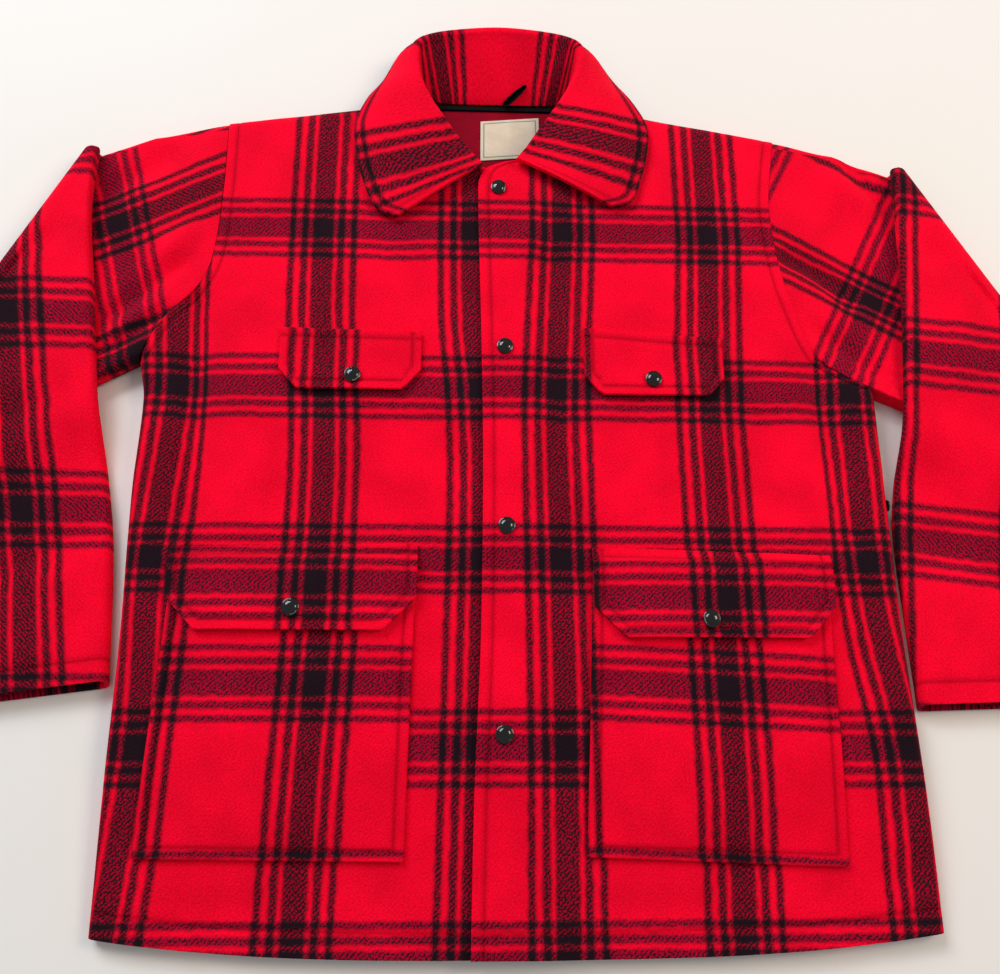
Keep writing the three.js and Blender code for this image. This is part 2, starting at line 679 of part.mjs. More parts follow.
const evenly = (count) => Array.from({ length: count + 1 }, (_, i) => i / count);

function pocketPlace(side, u, v) {
  const { bottom, top } = POCKETS[side];
  const [x1, x2, y1, y2] = mixPoint(bottom, top, v);
  return [mix(x1, x2, u), mix(y1, y2, u)];
}

// How far a pocket stands off the front beneath it, nothing along its seams.
function pocketBulge(side, x, y) {
  const { bottom, top } = POCKETS[side];
  const v = clamp((y - bottom[2]) / (top[2] - bottom[2]), 0, 1);
  const x1 = mix(bottom[0], top[0], v);
  const x2 = mix(bottom[1], top[1], v);
  const u = clamp((x - x1) / (x2 - x1), 0, 1);
  return POCKET_BULGE * ease(0, 0.22, u) * ease(0, 0.22, 1 - u) * ease(0, 0.18, v);
}

const pocketTop = (side, x, y) => frontTop(side, x, y) + LAY_GAP + WALL + pocketBulge(side, x, y);

function pocketGeometry(side) {
  const columns = [0, 0.08, 0.22, 0.36, 0.5, 0.64, 0.78, 0.92, 1];
  const rows = [0, 0.08, 0.2, 0.35, 0.5, 0.65, 0.8, 1];
  const underside = (x, y) => pocketTop(side, x, y) - WALL;
  return patchGeometry(columns, rows, (u, v) => pocketPlace(side, u, v), underside, WALL);
}

function flapPlace(flap, u, v) {
  const x = mix(flap.x1, flap.x2, u);
  const fromSide = Math.min(x - flap.x1, flap.x2 - x);
  const low = flap.low + flap.chamfer * clamp(1 - fromSide / flap.cut, 0, 1);
  return [x, mix(low, mix(flap.top1, flap.top2, u), v)];
}

// Underside of a flap: on the front at its seam, then over the pocket, with its free edge curled up.
function flapUnderside(flap, x, y) {
  const side = x > 0 ? "left" : "right";
  const base = frontTop(side, x, y) + LAY_GAP;
  const curl = FLAP_CURL * (1 - ease(flap.low, flap.low + 26, y));
  if (!flap.over) return base + curl;
  const over = 1 - ease(-7, 1, y);
  return base + curl + over * (pocketTop(side, x, y) + LAY_GAP - base);
}

function flapGeometry(flap) {
  const cut = flap.cut / (flap.x2 - flap.x1);
  const columns = [0, cut / 2, cut, 0.28, 0.43, 0.57, 0.72, 1 - cut, 1 - cut / 2, 1];
  const rows = [0, 0.14, 0.3, 0.5, 0.7, 0.84, 0.92, 1];
  const underside = (x, y) => flapUnderside(flap, x, y);
  return patchGeometry(columns, rows, (u, v) => flapPlace(flap, u, v), underside, WALL);
}

// A domed cap with a flat underside and a rounded rim.
function snapGeometry(radius, height) {
  const profile = [[0, 0], [radius * 0.94, 0], [radius, height * 0.3], [radius * 0.9, height * 0.62]];
  profile.push([radius * 0.62, height * 0.88], [radius * 0.3, height * 0.98], [0, height]);
  const points = profile.map(([x, y]) => new THREE.Vector2(x, y));
  return new THREE.LatheGeometry(points, 20).rotateX(Math.PI / 2);
}

// Height at which a cap clears the cloth under the whole of its rim.
function snapHeight(snap) {
  const side = snap.x > 0 ? "left" : "right";
  let height = 0;
  for (let i = 0; i < 12; i += 1) {
    const x = snap.x + SNAP_RADIUS * Math.cos((Math.PI * i) / 6);
    const y = snap.y + SNAP_RADIUS * Math.sin((Math.PI * i) / 6);
    const cloth = snap.flap ? flapUnderside(FLAPS[snap.flap], x, y) + WALL : frontTop(side, x, y);
    height = Math.max(height, cloth);
  }
  return height + SEAM;
}

// What shows inside the neck: the lining of the back, the tape on its seam, the label and the loop
const LINING = { x1: -50, x2: 68, y1: 306, y2: 402.6, thickness: 1.2 };
const NECK_TAPE = { x1: -44, x2: 62, y1: 403, y2: 406.6, thickness: 3 };
const LABEL_SHAPE = { x1: -6, x2: 45, y1: 352, y2: 392, slant: 5, thickness: 0.6 };
const LOOP = {
  x: 24,
  y: 416,
  z: 13.2,
  long: 26,
  wide: 8,
  strip: 2.4,
  thickness: 1.5,
  tilt: 0.62,
  turn: 0.72,
};

function rectanglePatch(shape, z) {
  const columns = evenly(4);
  const slant = shape.slant ?? 0;
  const place = (u, v) => [mix(shape.x1, shape.x2, u), mix(shape.y1, shape.y2, v) + slant * u];
  return patchGeometry(columns, evenly(2), place, () => z, shape.thickness);
}

// A narrow leaf of tape with a slot through it.
function loopGeometry() {
  const leaf = (half, wide, turn) => {
    const points = [];
    for (let i = 0; i < 16; i += 1) {
      const angle = (turn * i * Math.PI) / 8;
      points.push(new THREE.Vector2(half * Math.cos(angle), wide * Math.sin(angle)));
    }
    return points;
  };
  const shape = new THREE.Shape(leaf(LOOP.long / 2, LOOP.wide / 2, 1));
  shape.holes.push(new THREE.Path(leaf(LOOP.long / 2 - LOOP.strip, LOOP.wide / 2 - LOOP.strip, -1)));
  return new THREE.ExtrudeGeometry(shape, { depth: LOOP.thickness, bevelEnabled: false });
}

const coat = new THREE.Group();

function add(name, geometry, look) {
  const mesh = new THREE.Mesh(geometry, new THREE.MeshStandardMaterial({ ...look, name }));
  mesh.name = name;
  coat.add(mesh);
  return mesh;
}

add("back", wallBetween(backPoints(0), backPoints(WALL)), WOOL);
for (const side of ["right", "left"]) {
  add(`front_${side}`, wallBetween(frontPoints(side, 0), frontPoints(side, WALL)), WOOL);
  add(`sleeve_${side}`, wallBetween(sleevePoints(side, 0), sleevePoints(side, WALL), true), WOOL);
  add(`pocket_${side}`, pocketGeometry(side), WOOL);
}
for (const [name, flap] of Object.entries(FLAPS)) add(name, flapGeometry(flap), WOOL);
add("collar", collarGeometry(), WOOL);
add("neck_lining", rectanglePatch(LINING, WALL + SEAM), SATIN);
add("neck_tape", rectanglePatch(NECK_TAPE, WALL + SEAM), TAPE);
add("label", rectanglePatch(LABEL_SHAPE, WALL + 2 * SEAM + LINING.thickness), LABEL);

const loop = add("hanger_loop", loopGeometry(), TAPE);
loop.position.set(LOOP.x, LOOP.y, LOOP.z);
loop.rotation.set(LOOP.tilt, 0, LOOP.turn, "XYZ");

for (const snap of SNAPS) {
  const cap = add(snap.name, snapGeometry(SNAP_RADIUS, SNAP_HEIGHT), SNAP);
  cap.position.set(snap.x, snap.y, snapHeight(snap));
}
const sideSnap = add("side_snap", snapGeometry(SIDE_SNAP.radius, SIDE_SNAP.height), SNAP);
sideSnap.position.set(curveAt(SIDES, "y", "left", SIDE_SNAP.y) + SEAM, SIDE_SNAP.y, SIDE_SNAP.z);
sideSnap.rotation.y = Math.PI / 2;

// The part stands on the table with its origin at the middle of its box
const part = new THREE.Group();
part.add(coat);
part.updateMatrixWorld(true);
const box = new THREE.Box3().setFromObject(coat, true);
const middle = box.getCenter(new THREE.Vector3());
coat.position.set(-middle.x, -middle.y, -box.min.z);

export default part;
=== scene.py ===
"""Dresses the plaid wool hunting coat: fine cloth shells, seams, finishes, floor, light and camera."""

from __future__ import annotations

import json
import logging
import math
from dataclasses import dataclass, field
from enum import Enum

import bpy
import numpy as np
from mathutils import Matrix, Vector, noise

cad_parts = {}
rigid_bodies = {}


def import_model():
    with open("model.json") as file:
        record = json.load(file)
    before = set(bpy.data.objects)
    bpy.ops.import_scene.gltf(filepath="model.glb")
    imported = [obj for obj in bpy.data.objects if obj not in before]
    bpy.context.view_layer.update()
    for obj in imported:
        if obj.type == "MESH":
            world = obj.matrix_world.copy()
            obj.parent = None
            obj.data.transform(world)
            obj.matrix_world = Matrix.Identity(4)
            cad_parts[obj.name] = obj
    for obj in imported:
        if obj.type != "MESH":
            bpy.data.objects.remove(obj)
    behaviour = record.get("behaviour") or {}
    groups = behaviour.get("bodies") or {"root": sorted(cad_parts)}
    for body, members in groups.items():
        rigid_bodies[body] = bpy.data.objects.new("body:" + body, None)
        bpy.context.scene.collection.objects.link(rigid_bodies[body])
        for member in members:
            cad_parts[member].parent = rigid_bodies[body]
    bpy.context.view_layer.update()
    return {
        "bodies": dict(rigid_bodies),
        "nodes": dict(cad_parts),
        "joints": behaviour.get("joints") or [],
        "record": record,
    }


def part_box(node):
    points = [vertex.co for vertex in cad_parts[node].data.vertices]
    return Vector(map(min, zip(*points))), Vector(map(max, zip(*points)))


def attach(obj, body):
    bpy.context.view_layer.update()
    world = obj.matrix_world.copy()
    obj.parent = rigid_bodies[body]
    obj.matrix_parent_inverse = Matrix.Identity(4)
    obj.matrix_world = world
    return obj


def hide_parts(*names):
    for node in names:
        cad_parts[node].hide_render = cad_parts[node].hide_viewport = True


LOG = logging.getLogger("coat")
MM = 0.001
WALL = 3.0  # wool cloth, mm
SEAM = 0.3  # space between two pieces at a seam
LAID = WALL + SEAM  # height of what lies on the back panel
LAY_GAP = 0.7  # space under a piece laid on uneven cloth
WARP_REPEAT = 121.5  # the plaid's repeat across the coat, mm
WEFT_REPEAT = 139.0  # the plaid's repeat along the coat, mm
WEFT_GROUPS = tuple(WEFT_REPEAT * k for k in range(-3, 4))  # where its stripes lie on the cut cloth
HALF_PI = math.pi / 2
Array = np.ndarray
Color = tuple[float, float, float, float]
Material = bpy.types.Material
Piece = bpy.types.Object
Socket = bpy.types.NodeSocket
Tree = bpy.types.NodeTree


class Side(Enum):
    """The wearer's right or left side, as the sign of its place along X."""

    RIGHT = -1
    LEFT = 1

    @property
    def word(self) -> str:
        """The side's name as the nodes give it."""
        return self.name.lower()


def ease(start: float, end: float, at: Array) -> Array:
    """Rises smoothly from 0 to 1.

    Args:
        start: Where it leaves 0.
        end: Where it reaches 1.
        at: The places to read.

    Returns:
        The value at each place.
    """
    t = np.clip((np.asarray(at, dtype=float) - start) / (end - start), 0.0, 1.0)
    return t * t * (3.0 - 2.0 * t)


def blend(a: Array, b: Array, t: Array) -> Array:
    """Goes straight from a to b as t goes from 0 to 1."""
    return a + (b - a) * t


@dataclass(frozen=True)
class Profile:
    """A size given at a few places and read anywhere between them."""

    places: tuple[float, ...]
    values: tuple[float, ...]

    def smooth(self, at: Array) -> Array:
        """Reads the size on a smooth curve through the given places.

        Args:
            at: The places to read.

        Returns:
            The size at each place.
        """
        places, values = np.array(self.places, float), np.array(self.values, float)
        count = len(places)
        before = np.maximum(np.arange(count) - 1, 0)
        after = np.minimum(np.arange(count) + 1, count - 1)
        slopes = (values[after] - values[before]) / (places[after] - places[before])
        i = np.clip(np.searchsorted(places, at, side="left") - 1, 0, count - 2)
        span = places[i + 1] - places[i]
        t = np.clip((at - places[i]) / span, 0.0, 1.0)
        t2, t3 = t * t, t * t * t
        return (
            (2 * t3 - 3 * t2 + 1) * values[i]
            + (t3 - 2 * t2 + t) * slopes[i] * span
            + (3 * t2 - 2 * t3) * values[i + 1]
            + (t3 - t2) * slopes[i + 1] * span
        )


@dataclass(frozen=True)
class Crease:
    """A soft trough or ridge along a line, with its half width and its height."""

    x1: float
    y1: float
    x2: float
    y2: float
    width: float
    height: float

    def lift(self, x: Array, y: Array) -> Array:
        """The crease's height at each place, fading out at both ends.

        Args:
            x: Places across the coat, in mm.
            y: Places up the coat, in mm.

        Returns:
            The height in mm.
        """
        length = math.hypot(self.x2 - self.x1, self.y2 - self.y1)
        run_x, run_y = (self.x2 - self.x1) / length, (self.y2 - self.y1) / length
        along = (x - self.x1) * run_x + (y - self.y1) * run_y
        across = (x - self.x1) * run_y - (y - self.y1) * run_x
        ends = ease(-self.width, self.width, along) * ease(-self.width, self.width, length - along)
        return self.height * ends * np.exp(-((across / self.width) ** 2))


def crease_lift(creases: tuple[Crease, ...], x: Array, y: Array) -> Array:
    """The summed height of several creases at each place.

    Args:
        creases: The creases that lie on the cloth.
        x: Places across the coat, in mm.
        y: Places up the coat, in mm.

    Returns:
        The height in mm.
    """
    total = np.zeros(np.broadcast(x, y).shape)
    for crease in creases:
        total = total + crease.lift(x, y)
    return total


def ripple(x: Array, y: Array, wave: float, seed: float) -> Array:
    """Uneven low waves of the cloth, from -1 to 1.

    Args:
        x: Places across.
        y: Places along.
        wave: The length of a wave in millimetres.
        seed: A number that gives each piece its own waves.

    Returns:
        The height of the waves at each place.
    """
    x, y = np.broadcast_arrays(x, y)
    flat = [noise.noise(Vector((a / wave, b / wave, seed))) for a, b in zip(x.ravel(), y.ravel())]
    return np.array(flat).reshape(x.shape)


def linear(code: str) -> Color:
    """Turns an sRGB hex colour to linear values with alpha 1."""
    parts = [int(code[i : i + 2], 16) / 255 for i in (0, 2, 4)]
    red, green, blue = (c / 12.92 if c <= 0.04045 else ((c + 0.055) / 1.055) ** 2.4 for c in parts)
    return (red, green, blue, 1.0)


def fill_sockets(tree: Tree, node: bpy.types.Node, sockets: dict) -> None:
    """Fills a node's inputs, by a link or with a value that is the same all over.

    Args:
        tree: The node tree.
        node: The node.
        sockets: Another node's output or a plain value for each input.
    """
    for key, value in sockets.items():
        if isinstance(value, Socket):
            tree.links.new(value, node.inputs[key])
        else:
            node.inputs[key].default_value = value


def new_material(name: str) -> tuple[Material, Tree, bpy.types.Node]:
    """Starts a material.

    Args:
        name: What the real one is.

    Returns:
        The material, its nodes and its shader.
    """
    material = bpy.data.materials.new(name)
    material.use_nodes = True
    tree = material.node_tree
    return material, tree, tree.nodes["Principled BSDF"]


def add_node(tree: Tree, kind: str, sockets: dict | None = None, **settings: object) -> bpy.types.Node:
    """Adds one node to a tree.

    Args:
        tree: The node tree.
        kind: The node's type.
        sockets: What goes into its inputs: another node's output to link, or a plain value.
        **settings: The node's own settings.

    Returns:
        The new node.
    """
    node = tree.nodes.new(kind)
    for name, value in settings.items():
        setattr(node, name, value)
    fill_sockets(tree, node, sockets or {})
    return node


def set_stops(ramp: bpy.types.ColorRamp, stops: list[tuple[float, Color]]) -> None:
    """Gives a colour ramp its stops, each a place and a linear colour.

    Args:
        ramp: The ramp, with its two first stops.
        stops: Each a place from 0 to 1 and a linear colour.
    """
    while len(ramp.elements) > 1:
        ramp.elements.remove(ramp.elements[-1])
    ramp.elements[0].position, ramp.elements[0].color = stops[0]
    for place, color in stops[1:]:
        ramp.elements.new(place).color = color


@dataclass(frozen=True)
class Sett:
    """One direction of the plaid: its repeat and the widths of its dark stripes, in millimetres."""

    repeat: float
    line: float
    gap: float
    band: float
    thin: float
    wide: float
    edge: float = 1.3

    def stripes(self) -> list[tuple[float, float]]:
        """The start and end of each dark stripe, measured from the middle of the wide one.

        Returns:
            Pairs in mm.
        """
        half = self.wide / 2
        band = half + self.thin
        line = band + self.band + self.gap
        return [
            (-line - self.line, -line),
            (-band - self.band, -band),
            (-half, half),
            (band, band + self.band),
            (line, line + self.line),
        ]

    def stops(self) -> list[tuple[float, Color]]:
        """The stripes as stops of a ramp over one repeat, dark as white.

        Returns:
            Each a place from 0 to 1 and a linear grey.
        """
        black, white = (0.0, 0.0, 0.0, 1.0), (1.0, 1.0, 1.0, 1.0)
        found = [(0.0, black)]
        for start, end in self.stripes():
            for at, before, after in ((start, black, white), (end, white, black)):
                found.append((0.5 + (at - self.edge) / self.repeat, before))
                found.append((0.5 + (at + self.edge) / self.repeat, after))
        return found


@dataclass(frozen=True)
class NappedWool:
    """Heavy red and black plaid wool, woven in twill and brushed: dull, with a soft light edge."""

    red: str = "F90B47"
    red_weft: str = "F3093F"
    sheen_tint: str = "FF4A5C"
    dark: str = "2E212B"
    dark_weft: str = "32212B"
    warp: Sett = Sett(WARP_REPEAT, 5.5, 4.5, 6.2, 2.9, 17.5)
    weft: Sett = Sett(WEFT_REPEAT, 4.9, 4.1, 5.8, 3.0, 19.0)
    twill_mm: float = 3.7  # nearly twice the real spacing of the ribs, so that they show from a step away
    warp_share: float = 0.62
    wander: float = 0.0024  # how far the threads wander, in metres
    fray: float = 0.0016  # how far their fibres do
    painted_channel_shade: float = 0.42  # painted shade: how much darker a stitched channel is drawn, for the shadow in its groove
    nap_mm: float = 1.5
    nap_share: float = 0.64  # how far the brushed fibres of both threads cover the weave

    def build(self) -> Material:
        """Makes the cloth's material, which reads the piece's own map of the cut cloth in metres.

        Returns:
            The material.
        """
        material, tree, shader = new_material("napped plaid wool twill")
        cloth = add_node(tree, "ShaderNodeUVMap", uv_map="cloth").outputs["UV"]
        wander, fuzz = (
            add_node(
                tree,
                "ShaderNodeTexNoise",
                {"Vector": cloth, "Scale": scale, "Detail": 2.0},
                noise_dimensions="2D",
            )
            for scale in (130.0, 700.0)
        )
        shaken = self._shifted(tree, cloth, wander.outputs["Color"], self.wander)
        shaken = self._shifted(tree, shaken, fuzz.outputs["Color"], self.fray)
        place = add_node(tree, "ShaderNodeSeparateXYZ", {"Vector": shaken})
        warp = self._stripe_color(tree, place.outputs["X"], self.warp, self.red, self.dark)
        weft = self._stripe_color(tree, place.outputs["Y"], self.weft, self.red_weft, self.dark_weft)
        on_top = self._twill(tree, place, fuzz.outputs["Fac"])
        woven = add_node(
            tree, "ShaderNodeMix", {"Factor": on_top, "A": weft, "B": warp}, data_type="RGBA"
        )
        brushed = add_node(
            tree,
            "ShaderNodeMix",
            {"Factor": 1.0, "A": weft, "B": warp},
            data_type="RGBA",
            blend_type="MULTIPLY",
        )
        napped = add_node(
            tree,
            "ShaderNodeMix",
            {"Factor": self.nap_share, "A": woven.outputs["Result"], "B": brushed.outputs["Result"]},
            data_type="RGBA",
        )
        self._finish(tree, shader, cloth, napped, on_top)
        return material

    def _shifted(self, tree: Tree, place: Socket, color: Socket, amount: float) -> Socket:
        """Moves places on the cloth by an uneven amount, so that no stripe is drawn with a ruler.

        Args:
            tree: The material's nodes.
            place: The places to move.
            color: Noise whose colour says where to.
            amount: The largest shift in metres.

        Returns:
            The moved places.
        """
        middle = add_node(
            tree, "ShaderNodeVectorMath", {0: color, 1: (0.5, 0.5, 0.5)}, operation="SUBTRACT"
        )
        scaled = add_node(
            tree, "ShaderNodeVectorMath", {0: middle.outputs[0], "Scale": amount}, operation="SCALE"
        )
        moved = add_node(tree, "ShaderNodeVectorMath", {0: place, 1: scaled.outputs[0]}, operation="ADD")
        return moved.outputs[0]

    def _stripe_color(self, tree: Tree, place: Socket, sett: Sett, red: str, dark: str) -> Socket:
        """Colours one direction's threads by the stripes of its sett.

        Args:
            tree: The material's nodes.
            place: The place across the stripes.
            sett: The stripes' widths.
            red: The ground's colour.
            dark: The stripes' colour.

        Returns:
            The threads' colour.
        """
        turns = add_node(
            tree, "ShaderNodeMath", {0: place, 1: 1000.0 / sett.repeat, 2: 0.5}, operation="MULTIPLY_ADD"
        )
        share = add_node(tree, "ShaderNodeMath", {0: turns.outputs[0]}, operation="FRACT")
        ramp = add_node(tree, "ShaderNodeValToRGB", {"Fac": share.outputs[0]})
        set_stops(ramp.color_ramp, sett.stops())
        mixed = add_node(
            tree,
            "ShaderNodeMix",
            {"Factor": ramp.outputs["Color"], "A": linear(red), "B": linear(dark)},
            data_type="RGBA",
        )
        return mixed.outputs["Result"]

    def _twill(self, tree: Tree, place: bpy.types.Node, fuzz: Socket) -> Socket:
        """Where the warp lies on top: diagonal ribs with ragged sides.

        Args:
            tree: The material's nodes.
            place: The places along and across the cloth.
            fuzz: How frayed the ribs are.

        Returns:
            1 where the warp is on top, 0 where the weft is.
        """
        diagonal = add_node(
            tree, "ShaderNodeMath", {0: place.outputs["X"], 1: place.outputs["Y"]}, operation="SUBTRACT"
        )
        turns = add_node(
            tree,
            "ShaderNodeMath",
            {0: diagonal.outputs[0], 1: 1000.0 / self.twill_mm},
            operation="MULTIPLY",
        )
        wave = add_node(tree, "ShaderNodeMath", {0: turns.outputs[0], 1: 0.5}, operation="PINGPONG")
        ragged = add_node(
            tree, "ShaderNodeMath", {0: fuzz, 1: 1.9, 2: wave.outputs[0]}, operation="MULTIPLY_ADD"
        )
        middle = 0.95 + 0.5 * self.warp_share
        rib = add_node(
            tree,
            "ShaderNodeMapRange",
            {"Value": ragged.outputs[0], "From Min": middle + 0.16, "From Max": middle - 0.16},
            interpolation_type="SMOOTHSTEP",
        )
        return rib.outputs["Result"]

    def _finish(
        self,
        tree: Tree,
        shader: bpy.types.Node,
        cloth: Socket,
        woven: bpy.types.Node,
        ribs: Socket,
    ) -> None:
        """Adds the worn patches, the painted shade in the stitched channels, the nap's relief and the soft
        sheen.

        Args:
            tree: The material's nodes.
            shader: The material's shader.
            cloth: Places on the cut cloth.
            woven: The node with the plaid's colour.
            ribs: Where the warp lies on top.
        """
        patches = add_node(
            tree, "ShaderNodeTexNoise", {"Vector": cloth, "Scale": 22.0, "Detail": 3.0}, noise_dimensions="2D"
        )
        nap = add_node(
            tree,
            "ShaderNodeTexNoise",
            {"Vector": cloth, "Scale": 1000.0 / self.nap_mm, "Detail": 4.0, "Roughness": 0.65},
            noise_dimensions="2D",
        )
        seam = add_node(tree, "ShaderNodeAttribute", attribute_name="stitch")
        tone, fleck = (
            add_node(
                tree,
                "ShaderNodeMapRange",
                {
                    "Value": wear.outputs["Fac"],
                    "From Min": 0.3,
                    "From Max": 0.7,
                    "To Min": low,
                    "To Max": top,
                },
            )
            for wear, low, top in ((patches, 0.9, 1.12), (nap, 0.82, 1.2))
        )
        both = add_node(
            tree, "ShaderNodeMath", {0: tone.outputs[0], 1: fleck.outputs[0]}, operation="MULTIPLY"
        )
        # painted shade: the colour is darkened along the stitched channels, where their grooves lie in shadow
        painted_channel_darkening = add_node(
            tree,
            "ShaderNodeMath",
            {0: seam.outputs["Fac"], 1: -self.painted_channel_shade, 2: 1.0},
            operation="MULTIPLY_ADD",
        )
        # random tone and nap flecks, times the painted shade of the stitched channels
        tone_and_channel_shade = add_node(
            tree, "ShaderNodeMath", {0: both.outputs[0], 1: painted_channel_darkening.outputs[0]}, operation="MULTIPLY"
        )
        color = add_node(
            tree,
            "ShaderNodeVectorMath",
            {0: woven.outputs["Result"], "Scale": tone_and_channel_shade.outputs[0]},
            operation="SCALE",
        )
        relief = add_node(
            tree, "ShaderNodeMath", {0: ribs, 1: 0.35, 2: nap.outputs["Fac"]}, operation="MULTIPLY_ADD"
        )
        bump = add_node(
            tree, "ShaderNodeBump", {"Height": relief.outputs[0], "Strength": 0.55, "Distance": 0.0008}
        )
        looks = {
            "Base Color": color.outputs[0],
            "Normal": bump.outputs[0],
            "Roughness": 0.94,
            "IOR": 1.45,
            "Specular IOR Level": 0.06,
            "Sheen Weight": 0.2,
            "Sheen Roughness": 0.4,
            "Sheen Tint": linear(self.sheen_tint),
        }
        fill_sockets(tree, shader, looks)


@dataclass(frozen=True)
class WovenCloth:
    """A plain thin cloth: satin lining, tape or label, with its thread lines and sheen."""

    name: str
    color: str
    second: str
    threads_mm: float
    roughness: float
    sheen: float
    relief: float
    specular: float = 0.5
    border: tuple[float, float] | None = None
    border_color: str = "6F8F80"

    def build(self) -> Material:
        """Makes the material from fine crossing threads on the piece's own map.

        Returns:
            The material.
        """
        material, tree, shader = new_material(self.name)
        cloth = add_node(tree, "ShaderNodeUVMap", uv_map="cloth").outputs["UV"]
        waves = [
            add_node(
                tree,
                "ShaderNodeTexWave",
                {"Vector": cloth, "Scale": 1000.0 / self.threads_mm / 20.0 * 3.0, "Distortion": 1.5},
                bands_direction=direction,
            )
            for direction in ("X", "Y")
        ]
        cross = add_node(
            tree,
            "ShaderNodeMath",
            {0: waves[0].outputs["Fac"], 1: waves[1].outputs["Fac"]},
            operation="MULTIPLY",
        )
        uneven = add_node(
            tree, "ShaderNodeTexNoise", {"Vector": cloth, "Scale": 60.0, "Detail": 4.0}, noise_dimensions="2D"
        )
        share = add_node(
            tree,
            "ShaderNodeMath",
            {0: cross.outputs[0], 1: 0.5, 2: uneven.outputs["Fac"]},
            operation="MULTIPLY_ADD",
        )
        color = add_node(
            tree,
            "ShaderNodeMix",
            {"Factor": share.outputs[0], "A": linear(self.second), "B": linear(self.color)},
            data_type="RGBA",
        )
        bump = add_node(
            tree,
            "ShaderNodeBump",
            {"Height": cross.outputs[0], "Strength": self.relief, "Distance": 0.0003},
        )
        shown = color.outputs["Result"]
        if self.border:
            shown = self._bordered(tree, cloth, shown)
        looks = {
            "Base Color": shown,
            "Normal": bump.outputs[0],
            "Roughness": self.roughness,
            "IOR": 1.48,
            "Specular IOR Level": self.specular,
            "Sheen Weight": self.sheen,
        }
        fill_sockets(tree, shader, looks)
        return material

    def _bordered(self, tree: Tree, cloth: Socket, ground: Socket) -> Socket:
        """Adds a plain thin line all round, a little inside the cut edge.

        Args:
            tree: The material's nodes.
            cloth: Places from the middle of the piece.
            ground: The colour inside the line.

        Returns:
            The colour with the line.
        """
        place = add_node(tree, "ShaderNodeSeparateXYZ", {"Vector": cloth})
        beyond = []
        for axis, half in zip("XY", self.border):
            size = add_node(tree, "ShaderNodeMath", {0: place.outputs[axis]}, operation="ABSOLUTE")
            past = add_node(tree, "ShaderNodeMath", {0: size.outputs[0], 1: half * MM}, operation="SUBTRACT")
            beyond.append(past.outputs[0])
        outer = add_node(tree, "ShaderNodeMath", {0: beyond[0], 1: beyond[1]}, operation="MAXIMUM")
        from_line = add_node(tree, "ShaderNodeMath", {0: outer.outputs[0]}, operation="ABSOLUTE")
        on_line = add_node(
            tree,
            "ShaderNodeMapRange",
            {"Value": from_line.outputs[0], "From Min": 0.0007, "From Max": 0.0004},
        )
        mixed = add_node(
            tree,
            "ShaderNodeMix",
            {"Factor": on_line.outputs[0], "A": ground, "B": linear(self.border_color)},
            data_type="RGBA",
        )
        return mixed.outputs["Result"]


@dataclass(frozen=True)
class GlossEnamel:
    """Black baked enamel on a pressed brass cap: a hard, clear gloss with faint wipe marks."""

    color: str = "050506"
    roughness: float = 0.07
    index: float = 1.54

    def build(self) -> Material:
        """Makes the enamel, with a slightly uneven gloss.

        Returns:
            The material.
        """
        material, tree, shader = new_material("gloss black enamel")
        place = add_node(tree, "ShaderNodeTexCoord").outputs["Object"]
        wipes = add_node(tree, "ShaderNodeTexNoise", {"Vector": place, "Scale": 900.0, "Detail": 3.0})
        gloss = add_node(
            tree,
            "ShaderNodeMapRange",
            {"Value": wipes.outputs["Fac"], "To Min": self.roughness * 0.6, "To Max": self.roughness * 1.9},
        )
        looks = {"Roughness": gloss.outputs[0], "Base Color": linear(self.color), "IOR": self.index}
        fill_sockets(tree, shader, looks)
        return material


@dataclass(frozen=True)
class PaintedFloor:
    """A plain pale painted floor: matt, nearly even."""

    color: str = "E8E3D9"
    patch: str = "E9E8E5"

    def build(self) -> Material:
        """Makes the paint, with faint uneven patches.

        Returns:
            The material.
        """
        material, tree, shader = new_material("pale matt floor paint")
        place = add_node(tree, "ShaderNodeTexCoord").outputs["Object"]
        patches = add_node(tree, "ShaderNodeTexNoise", {"Vector": place, "Scale": 3.0, "Detail": 2.0})
        color = add_node(
            tree,
            "ShaderNodeMix",
            {"Factor": patches.outputs["Fac"], "A": linear(self.patch), "B": linear(self.color)},
            data_type="RGBA",
        )
        fill_sockets(tree, shader, {"Base Color": color.outputs["Result"], "Roughness": 0.75})
        return material


@dataclass
class Finishes:
    """The coat's finishes, each made once."""

    wool: Material = field(default_factory=lambda: NappedWool().build())
    satin: Material = field(
        default_factory=lambda: WovenCloth(
            "red satin lining",
            color="8E031D",
            second="700119",
            threads_mm=0.6,
            roughness=0.6,
            sheen=0.0,
            relief=0.3,
            specular=0.04,
        ).build()
    )
    tape: Material = field(
        default_factory=lambda: WovenCloth(
            "black woven tape",
            color="100D10",
            second="060506",
            threads_mm=0.8,
            roughness=0.85,
            sheen=0.0,
            relief=0.6,
            specular=0.1,
        ).build()
    )
    label: Material = field(
        default_factory=lambda: WovenCloth(
            "woven label",
            color="DDCFB8",
            second="BDAE93",
            threads_mm=0.6,
            roughness=0.6,
            sheen=0.1,
            relief=0.4,
            specular=0.3,
            border=(22.6, 17.2),
        ).build()
    )
    enamel: Material = field(default_factory=lambda: GlossEnamel().build())


def deselect_all() -> None:
    """Leaves edit mode and selects nothing."""
    if bpy.context.object and bpy.context.object.mode != "OBJECT":
        bpy.ops.object.mode_set(mode="OBJECT")
    bpy.ops.object.select_all(action="DESELECT")


def pick(piece: Piece) -> None:
    """Makes one piece the only selected and active one."""
    deselect_all()
    piece.select_set(True)
    bpy.context.view_layer.objects.active = piece


